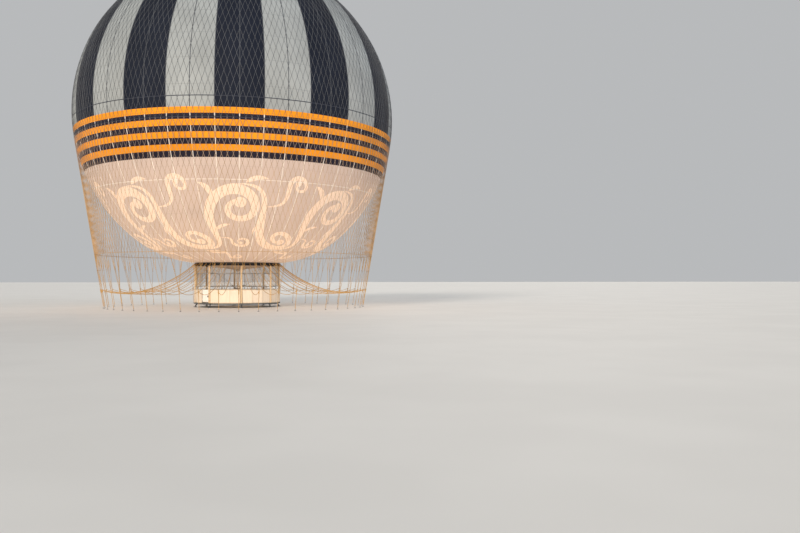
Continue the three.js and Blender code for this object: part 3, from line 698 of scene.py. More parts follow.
def beams(shape, starts, ends, width, height, reference=UP, bevel=0.004, slot=0):
    """Bars with bevelled edges between many starts and ends, width square to the reference direction."""
    starts, ends = (np.atleast_2d(np.asarray(x, float)) for x in (starts, ends))
    along = unit(ends - starts)
    side = unit(np.cross(np.broadcast_to(reference, along.shape), along))
    up = np.cross(along, side)
    paths = np.stack([starts, starts + along * bevel, ends - along * bevel, ends], 1)
    corners = []
    for inset in (bevel, 0.0, 0.0, bevel):
        a, b = width / 2 - inset, height / 2 - inset
        corners.append([
            (a, bevel - b), (a, b - bevel), (a - bevel, b), (bevel - a, b),
            (-a, b - bevel), (-a, bevel - b), (bevel - a, -b), (a - bevel, -b),
        ])
    side, up = (np.broadcast_to(vectors[:, None], paths.shape) for vectors in (side, up))
    return sweep(shape, paths, side, up, np.array(corners), slot=slot, smooth=False)


def beads(shape, places, radius, slot=0):
    """Eight-sided knots at many places."""
    tips = np.array([(1, 0, 0), (0, 1, 0), (-1, 0, 0), (0, -1, 0), (0, 0, 1), (0, 0, -1)], float) * radius
    faces = np.array([(0, 1, 4), (1, 2, 4), (2, 3, 4), (3, 0, 4), (1, 0, 5), (2, 1, 5), (3, 2, 5), (0, 3, 5)])
    places = np.reshape(places, (-1, 3))
    copies = (np.arange(len(places)) * len(tips))[:, None, None]
    return shape.add(places[:, None] + tips, faces[None] + copies, slot=slot)


def bolts(shape, places, direction, radius=0.012, height=0.01, slot=0):
    """Six-sided bolt heads that stand at places along one direction for each."""
    places = np.reshape(places, (-1, 3))
    direction = np.broadcast_to(direction, places.shape)
    tilt = np.where(np.abs(direction[:, 2:]) > 0.7, [[1.0, 0.0, 0.0]], [[0.0, 0.0, 1.0]])
    heads = places + direction * height
    return rods(shape, places, heads, radius, 6, tilt[:, None], slot=slot, smooth=False)


def settle(piece, body, slot, *nodes):
    """Makes a piece ride on a body and stand for CAD nodes. The slot is not used."""
    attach(piece, body)
    if nodes:
        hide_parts(*nodes)
    return piece


class Envelope:
    """The fabric's smooth form, from the crown hole down to the belly port."""

    def __init__(self, look):
        self.first = look.first_stripe
        self.bulge = look.bulge
        self.tape_step = TURN / LINES
        top = math.acos(CROWN_HOLE / RADIUS)
        low = math.asin(DOME_SPHERE_END / RADIUS)
        sphere_points, haunch_points, belly_points = 240, 60, 8
        latitude = np.linspace(top, low, sphere_points)
        sphere = RADIUS * np.stack([np.cos(latitude), np.sin(latitude)], -1)
        seat = np.array([RING_OUTER, RING_TOP + SEAT_RISE])
        reach = np.linalg.norm(seat - sphere[-1]) / 3
        leaving = sphere[-1] + reach * np.array([math.sin(low), -math.cos(low)])
        arriving = seat + reach * np.array([math.cos(SEAT_SLOPE), math.sin(SEAT_SLOPE)])
        haunch = bezier(sphere[-1], leaving, arriving, seat, haunch_points)
        knee = np.array([KNEE_RADIUS, seat[1] * (1 - KNEE_SHARE) + BELLY_BOTTOM * KNEE_SHARE])
        belly = [seat + (knee - seat) * way for way in np.linspace(0, 1, belly_points)[1:]]
        line = np.concatenate([sphere, haunch[1:], belly, [[PORT_HOLE, BELLY_BOTTOM]]])
        steps = np.linalg.norm(np.diff(line, axis=0), axis=1)
        self.arc = np.concatenate([[0], np.cumsum(steps)]) - RADIUS * top
        self.line = line
        down = unit(np.gradient(line, self.arc, axis=0))
        self.out = np.stack([-down[:, 1], down[:, 0]], -1)
        self.crown_arc = self.arc[0]
        self.port_arc = self.arc[-1]
        self.seat_arc = float(np.interp(-seat[1], -line[:, 1], self.arc))

    def radius(self, arc):
        """Radius of the fabric at arcs."""
        return np.interp(arc, self.arc, self.line[:, 0])

    def arc_at(self, height):
        """The arc where the fabric has a height."""
        return np.interp(-np.asarray(height), -self.line[:, 1], self.arc)

    def arc_of_radius(self, radius):
        """The arc above the equator where the fabric has a radius."""
        return -RADIUS * math.acos(radius / RADIUS)

    def on(self, azimuth, arc, lift=0.0):
        """Places a lift off the fabric. Between two tapes it stands out by the bulge times the sine of half
        a turn times the way across, which fades out towards the crown and the load ring."""
        azimuth, arc, lift = np.broadcast_arrays(azimuth, arc, lift)
        radius = self.radius(arc)
        height = np.interp(arc, self.arc, self.line[:, 1])
        across = (azimuth - self.first) / self.tape_step % 1
        off = lift + self.bulge * np.sin(math.pi * across) * np.interp(radius, BULGE_RADII, (0, 1))
        out = [np.interp(arc, self.arc, self.out[:, i]) for i in (0, 1)]
        return polar(radius + out[0] * off, azimuth, height + out[1] * off)

    def rows(self, top, bottom):
        """Arcs from top to bottom: both ends and, between them, the places of one grid that fabric and tapes
        share. The grid is finer where the fabric bends in towards the load ring."""
        upper = np.arange(self.crown_arc, HAUNCH_ARC, ROW_STEP)
        grid = np.concatenate([upper, np.arange(HAUNCH_ARC, self.port_arc, HAUNCH_STEP)])
        return np.array([top, *grid[(grid > top + ROW_MARGIN) & (grid < bottom - ROW_MARGIN)], bottom])

    def fabric(self, shape, starts, ends, arcs, columns=16, slot=0, lift=0.0):
        """A sheet of fabric for each span of azimuths. Its UVs are in panels across, two from tape to tape,
        and in metres down."""
        ways = np.linspace(0, 1, columns + 1)
        azimuth = np.asarray(starts)[:, None] + (np.asarray(ends) - starts)[:, None] * ways
        azimuth = np.broadcast_to(azimuth[:, None], (len(azimuth), len(arcs), columns + 1))
        down = np.broadcast_to(np.asarray(arcs)[:, None], azimuth.shape)
        copies = (np.arange(len(azimuth)) * azimuth[0].size)[:, None, None]
        uv = np.stack([(azimuth - self.first) / self.tape_step * 2, down], -1)
        faces = grid_faces(len(arcs), columns + 1)[None] + copies
        return shape.add(self.on(azimuth, down, lift), faces, uv.reshape(-1, 2), slot)

    def ribbons(self, shape, azimuth, arc, half, section, slot=0):
        """Strips on the fabric along lines of azimuths and arcs (count, points). half is the half width at
        each point, and a section row (share, lift) is a line at that share of it and that lift."""
        radius = self.radius(arc)
        across = np.gradient(azimuth, axis=-1) * radius
        down = np.gradient(arc, axis=-1)
        length = np.hypot(across, down)
        across, down = across / length, down / length
        share = np.array([row[0] for row in section])
        lift = np.array([row[1] for row in section])
        wide = half[..., None] * share
        places = self.on(
            azimuth[..., None] + down[..., None] * wide / radius[..., None],
            arc[..., None] - across[..., None] * wide,
            lift,
        )
        count, points, columns = wide.shape
        copies = (np.arange(count) * points * columns)[:, None, None]
        return shape.add(places, grid_faces(points, columns)[None] + copies, slot=slot)


def bezier(start, first, second, end, count):
    """Points of a cubic Bezier curve."""
    way = np.linspace(0, 1, count)[:, None]
    back = 1 - way
    return back**3 * start + 3 * back**2 * way * first + 3 * back * way**2 * second + way**3 * end


def band_edges(envelope, look):
    """Arcs of the belt's colour edges from the top down, in even steps with the gold part of each step first.
    They lie within 5 cm of the edges of the solid bands. The last edge is the dome's."""
    tops = look.belt_top - np.arange(4) * look.band_step
    heights = np.stack([tops, tops - look.gold_height], -1).ravel()
    return envelope.arc_at([*heights, heights_of("navy_band_4")[0]])


class AddFabric(bpy.types.Operator):
    """Adds the smooth fabric of the gores, the belt and the lower dome."""

    bl_idname = "balloon.add_fabric"
    bl_label = "Fabric"

    def execute(self, context):
        look = context.scene.balloon_envelope
        colours = context.scene.balloon_colours
        envelope = Envelope(look)
        step = TURN / look.stripes
        starts = look.first_stripe + np.arange(look.stripes) * step
        edges = band_edges(envelope, look)
        gores = envelope.rows(envelope.crown_arc, edges[0])
        for name, tone, parity in (("gores_navy", colours.navy, 0), ("gores_pale", colours.pale, 1)):
            mine = starts[parity::2]
            shape = envelope.fabric(Shape(), mine, mine + step, gores)
            slot = "navy_fabric" if parity == 0 else "pale_fabric"
            piece = shape.made(f"{name}_fabric", coated_fabric(f"{slot}_coated", tone))
            settle(piece, "root", slot, name)
        # The belt's navy bands take the lighter, warmer navy of painted warm light
        for colour, tone, parity in (("gold", colours.belt_gold, 0), ("navy", colours.belt_navy_lit, 1)):
            shape = Shape()
            bands = [f"{colour}_band_{i}" for i in (1, 2, 3, 4)]
            for top, bottom in zip(edges[parity:-1:2], edges[parity + 1 :: 2]):
                envelope.fabric(shape, starts, starts + step, envelope.rows(top, bottom))
            piece = shape.made(f"belt_{colour}_fabric", coated_fabric(f"belt_{colour}_coated", tone))
            settle(piece, "root", f"{colour}_fabric", *bands)
        dome = envelope.rows(edges[-1], envelope.port_arc)
        shape = envelope.fabric(Shape(), starts, starts + step, dome)
        piece = shape.made("lower_dome_fabric", coated_fabric("dome_coated", colours.dome, 0.9, 0.86))
        settle(piece, "root", "dome_fabric", "lower_dome")
        return {"FINISHED"}


class AddTapes(bpy.types.Operator):
    """Adds the seam tapes of the gores, the load tapes, gold over the gold bands, and the ring tapes."""

    bl_idname = "balloon.add_tapes"
    bl_label = "Tapes"

    def execute(self, context):
        look = context.scene.balloon_envelope
        colours = context.scene.balloon_colours
        envelope = Envelope(look)
        azimuths = ring_azimuths(LINES, look.first_stripe)
        edges = band_edges(envelope, look)
        raised = [(-1, 0.0), (-0.85, TAPE_LIFT), (0.85, TAPE_LIFT), (1, 0.0)]

        def uprights(shape, top, bottom, width, slot=0):
            """Tapes down all the seams from one arc to another."""
            arcs = envelope.rows(top, bottom)
            lines = np.broadcast_to(azimuths[:, None], (LINES, len(arcs)))
            down = np.broadcast_to(arcs, lines.shape)
            envelope.ribbons(shape, lines, down, np.full(lines.shape, width / 2), raised, slot)

        seams = Shape()
        uprights(seams, envelope.arc_of_radius(1.3), edges[0], look.seam_width)
        piece = seams.made("gore_seam_tapes", tape_webbing("seam_tape", colours.seam_tape))
        settle(piece, "root", "pale_fabric")
        loads = Shape()
        for band, (top, bottom) in enumerate(zip(edges, [*edges[1:], envelope.seat_arc - 0.05])):
            gold = band in (0, 2, 4, 6)
            uprights(loads, top, bottom, look.tape_width, int(gold))
        plain_tape = tape_webbing("load_tape", colours.load_tape)
        piece = loads.made("load_tapes", plain_tape, tape_webbing("gold_load_tape", colours.gold_tape))
        settle(piece, "root", "dome_fabric")
        around = look.first_stripe + np.linspace(0, TURN, LINES * 8 + 1)[None]
        for name, height, tone, slot in (
            ("ring_tape_upper", look.upper_ring, DARK_TAPE, "navy_fabric"),
            ("ring_tape_lower", look.lower_ring, colours.load_tape, "dome_fabric"),
        ):
            shape = Shape()
            arc = np.full(around.shape, float(envelope.arc_at(height)))
            ring = [(share, lift + RING_TAPE_LIFT) for share, lift in raised]
            envelope.ribbons(shape, around, arc, np.full(around.shape, look.seam_width / 2), ring)
            settle(shape.made(name, tape_webbing(name, tone)), "root", slot)
        return {"FINISHED"}


# Volutes of one unit of the frieze. Columns: centre across as a share of the unit, centre arc, outer and
# inner radius, turns, way (1 is counterclockwise), root across, root arc, half width, eye radius
VOLUTES = [
    (0.00, 7.70, 1.75, 0.46, 1.30, -1, -0.50, 11.50, 0.36, 0.38),
    (0.50, 10.30, 1.25, 0.33, 1.30, 1, 0.00, 5.97, 0.29, 0.29),
    (0.52, 6.00, 0.70, 0.22, 1.15, -1, 0.235, 7.55, 0.17, 0.20),
    (0.05, 10.60, 0.62, 0.20, 1.15, 1, -0.20, 10.20, 0.14, 0.16),
    (-0.02, 12.65, 0.46, 0.16, 1.10, 1, -0.47, 11.70, 0.11, 0.12),
]

# Leaves of one unit. Columns: root across as a share of the unit, root arc, heading in degrees, length,
# bend in radians, half width
LEAVES = [
    (-0.22, 6.9, 100, 1.4, 1.1, 0.18),
    (0.06, 5.9, 40, 1.5, -1.0, 0.16),
    (0.25, 8.9, -150, 1.2, 0.9, 0.14),
    (0.52, 11.6, -50, 1.2, 0.9, 0.14),
    (-0.24, 9.5, 55, 1.1, -0.9, 0.13),
]


class AddScrolls(bpy.types.Operator):
    """Adds a branching scroll frieze, a traditional ornament, as print on the lower dome."""

    bl_idname = "balloon.add_scrolls"
    bl_label = "Scroll print"

    def volute(self, envelope, unit_angle, centre, arc, outer, inner, turns, way, root, root_arc):
        """A stem that leaves its root level and runs into a spiral whose radius shrinks by the same share in
        each equal turn. Returns the way along, the offsets across in metres and the arcs."""
        middle = np.array([centre * unit_angle * envelope.radius(arc), -arc])
        start = np.array([root * unit_angle * envelope.radius(root_arc), -root_arc])
        winding = np.linspace(0, 1, 90)
        angle = math.pi + way * TURN * turns * winding
        radius = outer * (inner / outer) ** winding
        spiral = middle + radius[:, None] * np.stack([np.cos(angle), np.sin(angle)], -1)
        heading = unit(spiral[1] - spiral[0])
        reach = np.linalg.norm(spiral[0] - start)
        leaving = start + np.array([0.62 * reach, 0.0])
        stem = bezier(start, leaving, spiral[0] - heading * 0.45 * reach, spiral[0], 40)
        line = np.concatenate([stem[:-1], spiral])
        run = np.concatenate([[0], np.cumsum(np.linalg.norm(np.diff(line, axis=0), axis=1))])
        return run / run[-1], line[:, 0], -line[:, 1]

    def execute(self, context):
        look = context.scene.balloon_envelope
        envelope = Envelope(look)
        unit_angle = TURN / look.motifs
        centres = ring_azimuths(look.motifs)[:, None]
        flat = [(share, PRINT_LIFT) for share in np.linspace(-1, 1, 9)]
        shape = Shape()
        for *route, half, eye in VOLUTES:
            way, across, arc = self.volute(envelope, unit_angle, *route)
            azimuth = centres + across / envelope.radius(arc)
            arcs = np.broadcast_to(arc, azimuth.shape)
            swell = half * np.interp(way, [0, 0.1, 0.35, 0.55, 0.8, 1], [0.05, 0.35, 0.85, 1, 0.62, 0.42])
            envelope.ribbons(shape, azimuth, arcs, np.broadcast_to(swell, azimuth.shape), flat)
            self.eyes(envelope, shape, azimuth[:, -1], arc[-1], eye)
        for root, root_arc, heading, length, bend, half in LEAVES:
            points = 40
            way = np.linspace(0, 1, points)
            angle = math.radians(heading) + bend * way
            run, rise = (np.cumsum(share) * length / points for share in (np.cos(angle), np.sin(angle)))
            across = root * unit_angle * envelope.radius(root_arc) + run
            arc = root_arc - rise
            azimuth = centres + across / envelope.radius(arc)
            width = half * np.sin(math.pi * np.clip(way, 0.02, 0.98) ** 0.8) ** 0.8
            arcs = np.broadcast_to(arc, azimuth.shape)
            envelope.ribbons(shape, azimuth, arcs, np.broadcast_to(width, azimuth.shape), flat)
        ink = printed_ink("scroll_print", context.scene.balloon_colours.scroll)
        piece = shape.made("scroll_frieze_print", ink)
        settle(piece, "root", "dome_fabric")
        return {"FINISHED"}

    def eyes(self, envelope, shape, azimuth, arc, radius):
        """Round ends of the volutes, just over the strips that run into them."""
        turn = np.linspace(0, TURN, 25)
        rings = np.linspace(0.02, 1, 5)
        for middle in azimuth:
            across = radius * rings[:, None] * np.cos(turn)
            down = arc + radius * rings[:, None] * np.sin(turn)
            places = envelope.on(middle + across / envelope.radius(down), down, EYE_LIFT)
            shape.add(places, grid_faces(len(rings), len(turn))[:, ::-1])


def curtain_radius(height):
    """Radius of the net curtain, which hangs as a cone, at heights."""
    (top, top_z), (foot, foot_z) = CURTAIN_TOP, CURTAIN_FOOT
    return top + (foot - top) * (np.asarray(height) - top_z) / (foot_z - top_z)


def knots(columns, rows):
    """The column and the row of each knot of a diamond net. Odd rows are moved on by half a column."""
    column, row = np.meshgrid(np.arange(columns), np.arange(rows), indexing="ij")
    return column + (row % 2) / 2, row


def diamonds(shape, columns, rows, place, radius, sides=4, keep=None, level=True):
    """A net of diamond meshes. place(column, row) gives a knot's place, and keep(column, row) says which
    strands stay. The strands' sides face level outwards, or away from the net's origin."""
    column, row = knots(columns, rows)
    starts, ends = [], []
    for shift in (-0.5, 0.5):
        stays = np.ones(column.shape, bool)
        if keep:
            stays = keep(column, row) & keep(column + shift, row + 1)
        starts.append(place(column, row)[stays])
        ends.append(place(column + shift, row + 1)[stays])
    paths = np.stack([np.concatenate(starts), np.concatenate(ends)], 1)
    reference = paths.mean(1, keepdims=True) * ([1, 1, 0] if level else [1, 1, 1])
    return tubes(shape, paths, radius, sides, unit(reference), caps=False)


class AddNet(bpy.types.Operator):
    """Adds the rope net over the envelope, from the crown ring down to the head rope of the curtain."""

    bl_idname = "balloon.add_net"
    bl_label = "Net"

    def execute(self, context):
        look = context.scene.balloon_net
        envelope = Envelope(context.scene.balloon_envelope)
        first = context.scene.balloon_envelope.first_stripe
        lift = look.strand + 0.001
        foot = float(envelope.arc_at(CURTAIN_TOP[1]))
        shape = Shape()
        for share, top, bottom in NET_ZONES:
            columns = look.columns // share
            high = envelope.arc_of_radius(top)
            low = foot if bottom is None else envelope.arc_of_radius(bottom)
            rows = 2 * round((low - high) / look.mesh_height / 2)
            height = (low - high) / rows

            def place(column, row):
                """Places of knots on the fabric."""
                return envelope.on(first + column * TURN / columns, high + row * height, lift)

            diamonds(shape, columns, rows, place, look.strand, level=False)
            knot_rows = rows if bottom else rows + 1
            beads(shape, place(*knots(columns, knot_rows)), look.strand * 1.9)
        lines = ring_azimuths(look.columns // 8, first)[:, None]
        becket_arc = envelope.arc_of_radius(0.7)
        arcs = np.linspace(becket_arc, envelope.arc_of_radius(NET_ZONES[-1][1]), 9)
        tubes(shape, envelope.on(lines, arcs, lift), look.strand * 1.3, 6)
        becket = envelope.on(ring_azimuths(96)[None], becket_arc, 0.02)
        tubes(shape, becket, 0.017, 8, closed=True)
        piece = shape.made("envelope_net", net_cord("net_cord", context.scene.balloon_colours.net))
        settle(piece, "root", "net_rope", "net_upper")
        return {"FINISHED"}


class AddCurtain(bpy.types.Operator):
    """Adds the net curtain from its head rope down to its hem."""

    bl_idname = "balloon.add_curtain"
    bl_label = "Net curtain"

    def execute(self, context):
        look = context.scene.balloon_net
        first = context.scene.balloon_envelope.first_stripe
        top = CURTAIN_TOP[1]
        rows = 2 * round((top - CURTAIN_HEM) / look.mesh_height / 2) + 1
        height = (top - CURTAIN_HEM) / rows

        def place(column, row):
            """Places of knots on the curtain's cone."""
            z = top - row * height
            return polar(curtain_radius(z), first + column * TURN / look.columns, z)

        shape = Shape()
        diamonds(shape, look.columns, rows, place, look.curtain_strand)
        beads(shape, place(*knots(look.columns, rows + 1)), look.curtain_strand * 1.5)
        for z, radius, slot in ((top, 0.011, 2), (CURTAIN_HEM, 0.016, 1)):
            rope = polar(curtain_radius(z), ring_azimuths(look.columns, first)[None], z)
            tubes(shape, rope, radius, 8, closed=True, slot=slot)
        colours = context.scene.balloon_colours
        cord = net_cord("curtain_cord", colours.curtain, colours.curtain_top, (-5.2, -3.6))
        ropes = laid_rope("hem_rope", colours.curtain), laid_rope("head_rope", HEAD_ROPE)
        piece = shape.made("net_curtain", cord, *ropes)
        settle(piece, "root", "net_rope", *[f"net_curtain_{i}" for i in range(1, 9)])
        return {"FINISHED"}


class AddLines(bpy.types.Operator):
    """Adds the crow's feet, the drop lines with their ground fittings and the slack suspension lines."""

    bl_idname = "balloon.add_lines"
    bl_label = "Lines"

    def execute(self, context):
        look = context.scene.balloon_net
        first = context.scene.balloon_envelope.first_stripe
        column = TURN / look.columns
        azimuths = ring_azimuths(LINES, first)
        out = outward(azimuths)[:, None]
        apex = polar(curtain_radius(APEX_HEIGHT), azimuths, APEX_HEIGHT)
        shape = Shape()
        for side in (-1, 1):
            join = polar(curtain_radius(JOIN_HEIGHT), azimuths + side * 0.72 * column, JOIN_HEIGHT)
            for share in (0.5, 1.5):
                hem = polar(curtain_radius(CURTAIN_HEM), azimuths + side * share * column, CURTAIN_HEM)
                rods(shape, hem, join, look.curtain_strand, 6, out)
            rods(shape, join, apex, look.curtain_strand, 6, out)
            beads(shape, join, 0.03)
        foot_z = GROUND + 0.13
        foot = polar(curtain_radius(foot_z), azimuths, foot_z)
        rods(shape, apex, foot, look.line, 8, out)
        down = unit(foot - apex)[:, None]
        whipping = np.array([0.018, 0.03, 0.034, 0.028, 0.033, 0.026, 0.016])
        knot = apex[:, None] + down * np.linspace(-0.06, 0.2, len(whipping))[:, None]
        tubes(shape, knot, whipping, 8, out)
        tone = context.scene.balloon_colours.rope
        piece = shape.made("mooring_ropes", laid_rope("mooring_rope", tone))
        settle(piece, "root", "net_rope", "mooring_lines")
        fittings = Shape()
        self.ground_fittings(fittings, azimuths, foot)
        piece = fittings.made("ground_fittings", metal("fitting_steel", STEEL_GREY))
        settle(piece, "root", "aluminium")
        self.suspension(look, tone, azimuths)
        return {"FINISHED"}

    def ground_fittings(self, shape, azimuths, foot):
        """A snap hook, a ring and a small round base under each drop line."""
        along = sideways(azimuths)
        for drop, wide, tall, thick in ((0.035, 0.018, 0.045, 0.005), (0.085, 0.026, 0.026, 0.006)):
            links(shape, foot - UP * drop, along, outward(azimuths), wide, tall, thick)
        base = foot * [1, 1, 0] + UP * GROUND
        outline = [(0.001, 0.0), (0.07, 0.0), (0.07, 0.008), (0.062, 0.014), (0.02, 0.016), (0.001, 0.016)]
        for place in base:
            lathed(shape, place, outline, 12)
        rods(shape, base + UP * 0.012, base + UP * 0.05, 0.009, 8, along[:, None])

    def suspension(self, look, tone, azimuths):
        """The slack lines, each on one curve from the load ring out to an apex of the net."""
        points = 34
        end = curtain_radius(APEX_HEIGHT) - look.line
        bends = [(RING_OUTER + 0.04, LUG_HEIGHT), *SAG_POINTS, (end, APEX_HEIGHT)]
        curve = bezier(*np.array(bends), points)
        slack = 1 + 0.02 * np.sin(7 * azimuths)[:, None] * np.sin(np.linspace(0, math.pi, points))
        heights = APEX_HEIGHT + (curve[:, 1] - APEX_HEIGHT) * np.where(curve[:, 1] < APEX_HEIGHT, slack, 1)
        paths = polar(curve[:, 0], azimuths[:, None], np.maximum(heights, GROUND + 0.2))
        along = sideways(azimuths)
        shape = Shape()
        tubes(shape, paths, look.line, 7, along[:, None])
        links(shape, paths[:, 0], outward(azimuths), along, 0.028, 0.045, look.line * 0.8, 14)
        tubes(shape, paths[:, 1:3] * 0.5 + paths[:, :2] * 0.5, look.line * 1.5, 8, along[:, None])
        piece = shape.made("suspension_ropes", laid_rope("suspension_rope", tone))
        settle(piece, "root", "net_rope", "suspension_lines")


class AddCrown(bpy.types.Operator):
    """Adds the crown ring, its reinforcing patch and the valve lid that slides in it."""

    bl_idname = "balloon.add_crown"
    bl_label = "Crown"

    def execute(self, context):
        envelope = Envelope(context.scene.balloon_envelope)
        inner, outer = CROWN_RING
        seat, guide_top = heights_of("crown_ring")
        top = seat + 0.045
        patch = Shape()
        whole = ring_azimuths(1)
        arcs = np.linspace(envelope.arc_of_radius(outer), envelope.arc_of_radius(PATCH_RADIUS), 15)
        envelope.fabric(patch, whole, whole + TURN, arcs, 192, lift=0.006)
        fabric = coated_fabric("patch_coated", context.scene.balloon_colours.seam_tape)
        piece = patch.made("crown_patch", fabric)
        settle(piece, "root", "navy_fabric")
        ring = Shape()
        edge = 0.008
        outline = [
            (inner + edge, seat), (outer - edge, seat), (outer, seat + edge), (outer, top - edge),
            (outer - edge, top), (inner + edge, top), (inner, top - edge), (inner, seat + edge),
        ]
        turned(ring, outline, ring_azimuths(96))
        spokes = ring_azimuths(3)
        beams(ring, polar(0.05, spokes, top - 0.01), polar(inner + 0.01, spokes, top - 0.01), 0.04, 0.02)
        lathed(ring, AXIS, [
            (0.0205, seat + 0.016), (0.055, seat + 0.016), (0.055, guide_top - 0.006), (0.049, guide_top),
            (0.0205, guide_top),
        ], 32)
        bolts(ring, polar(outer - 0.03, ring_azimuths(48), top), UP, 0.011, 0.011)
        bolts(ring, polar(inner + 0.03, ring_azimuths(24, shift=0.5), top), UP, 0.009, 0.009)
        piece = ring.made("crown_ring_flange", metal("crown_metal", ALUMINIUM, 0.35))
        settle(piece, "root", "aluminium", "crown_ring")
        low, high = heights_of("crown_valve_lid")
        disc = low + 0.016
        lid = Shape()
        lathed(lid, AXIS, [
            (0.0, low), (0.412, low), (0.42, low + 0.004), (0.42, disc - 0.005), (0.40, disc),
            (0.05, disc), (0.03, disc + 0.012), (0.02, disc + 0.02), (0.02, high - 0.03),
            (0.028, high - 0.028), (0.028, high - 0.004), (0.02, high), (0.0, high),
        ], 48)
        rims = ring_azimuths(6, shift=0.5)
        beams(lid, polar(0.06, rims, disc + 0.003), polar(0.38, rims, disc + 0.003), 0.02, 0.014)
        piece = lid.made("crown_valve_plate", metal("valve_metal", ALUMINIUM, 0.3))
        settle(piece, "crown_valve", "aluminium", "crown_valve_lid")
        return {"FINISHED"}


class AddBellyPort(bpy.types.Operator):
    """Adds the belly port with its clamp bolts and capped filling neck."""

    bl_idname = "balloon.add_belly_port"
    bl_label = "Belly port"

    def execute(self, context):
        low, top = heights_of("belly_port")
        shape = Shape()
        lathed(shape, AXIS, [
            (0.0, top), (0.465, top), (0.47, top - 0.004), (0.47, top - 0.016), (0.462, top - 0.02),
            (0.16, top - 0.02), (0.145, top - 0.03), (0.14, top - 0.045), (0.14, low + 0.03),
            (0.15, low + 0.028), (0.15, low + 0.004), (0.144, low), (0.0, low),
        ], 64)
        bolts(shape, polar(0.435, ring_azimuths(32), top - 0.02), -UP, 0.01, 0.009)
        piece = shape.made("belly_port_plate", metal("port_metal", ALUMINIUM, 0.4))
        settle(piece, "root", "aluminium", "belly_port")
        return {"FINISHED"}


class AddLoadRing(bpy.types.Operator):
    """Adds the load ring as a channel section with stiffeners, line lugs and post clevises."""

    bl_idname = "balloon.add_load_ring"
    bl_label = "Load ring"

    def execute(self, context):
        shape = Shape()
        inner, outer = RING_INNER, RING_OUTER - 0.002
        plate, edge, web = 0.018, 0.006, 0.045
        low, high = RING_BOTTOM, RING_TOP
        outline = [
            (inner + edge, low), (outer - edge, low), (outer, low + edge), (outer, low + plate),
            (outer - web, low + plate + edge), (outer - web, high - plate - edge), (outer, high - plate),
            (outer, high - edge), (outer - edge, high), (inner + edge, high), (inner, high - edge),
            (inner, low + edge),
        ]
        turned(shape, outline, ring_azimuths(192))
        first = context.scene.balloon_envelope.first_stripe
        lugs = ring_azimuths(LINES, first)
        root = outer - web - 0.002
        beams(shape, polar(root, lugs, LUG_HEIGHT), polar(outer + 0.022, lugs, LUG_HEIGHT), 0.012, 0.07)
        ribs = ring_azimuths(LINES, first, 0.5)
        mean = (low + high) / 2
        rib_height = high - low - 2 * plate - 0.002
        beams(shape, polar(root, ribs, mean), polar(outer - 0.004, ribs, mean), 0.01, rib_height)
        posts = post_azimuths()
        for side in (-1, 1):
            cheek = polar(POST_RING - 0.05, posts, 0) + sideways(posts) * side * 0.035
            beams(shape, cheek + UP * (low - 0.05), cheek + UP * (low + 0.006), 0.09, 0.014, outward(posts))
        for shift in (0.03, -0.03):
            bolts(shape, polar(POST_RING - 0.02, posts + shift, low), -UP, 0.014, 0.012)
        piece = shape.made("load_ring_channel", metal("ring_steel", STEEL_DARK, 0.5, 0.7))
        settle(piece, "root", "dark_steel", "load_ring")
        return {"FINISHED"}


def facet(radius, azimuth):
    """Radius at azimuths of a ring with flat sides whose corners lie on a radius: the distance of a side from
    the axis over the cosine of the angle from the side's middle."""
    across = (azimuth - MODULE_START) % MODULE_STEP - MODULE_STEP / 2
    return radius * math.cos(MODULE_STEP / 2) / np.cos(across)


def walled(shape, azimuths, outline, swell=0.0, slot=0, caps=True):
    """Carries a closed outline of (radius, height) along spans (count, points) of the flat-sided ring. Over a
    span the outline's middle stands out by the swell times the sines of the ways across and up."""
    outline = np.asarray(outline, float)
    low, high = outline[:, 1].min(), outline[:, 1].max()
    across = (azimuths - azimuths[:, :1]) / (azimuths[:, -1:] - azimuths[:, :1])
    out = np.sin(math.pi * across)[..., None] * np.sin(math.pi * (outline[:, 1] - low) / (high - low))
    radius = facet(1.0, azimuths)[..., None] * outline[:, 0] + swell * np.clip(out, 0, 1)
    section = np.stack([np.broadcast_to(outline[:, 1], radius.shape), radius], -1)
    paths = np.zeros((*azimuths.shape, 3))
    lengths = np.concatenate([azimuths, azimuths[:, -1:]], 1) * outline[:, 0].max()
    side = np.broadcast_to(UP, paths.shape)
    return sweep(shape, paths, side, outward(azimuths), section, caps=caps, slot=slot, lengths=lengths)


def slab_outline(inner, outer, low, high, rows=10, around=4):
    """The closed outline of an upright slab with half-round ends, inner side going up."""
    middle, half = (inner + outer) / 2, (outer - inner) / 2
    heights = np.linspace(low + half, high - half, rows)
    turn = np.linspace(0, math.pi, around + 2)[1:-1]
    up = np.stack([np.full(rows, inner), heights], -1)
    top = np.stack([middle - half * np.cos(turn), high - half + half * np.sin(turn)], -1)
    down = np.stack([np.full(rows, outer), heights[::-1]], -1)
    foot = np.stack([middle + half * np.cos(turn), low + half - half * np.sin(turn)], -1)
    return np.concatenate([up, top, down, foot])


def post_azimuths():
    """Azimuths of the eight suspension posts."""
    return MODULE_START + np.arange(POSTS) * POST_STEP


def section_spans():
    """For each section between two posts: its start and how many modules it has beside a gate, which takes
    the last one."""
    gated = [module % MODULES // SECTION for _, module in GATES]
    return [(start, SECTION - gated.count(index)) for index, start in enumerate(post_azimuths())]


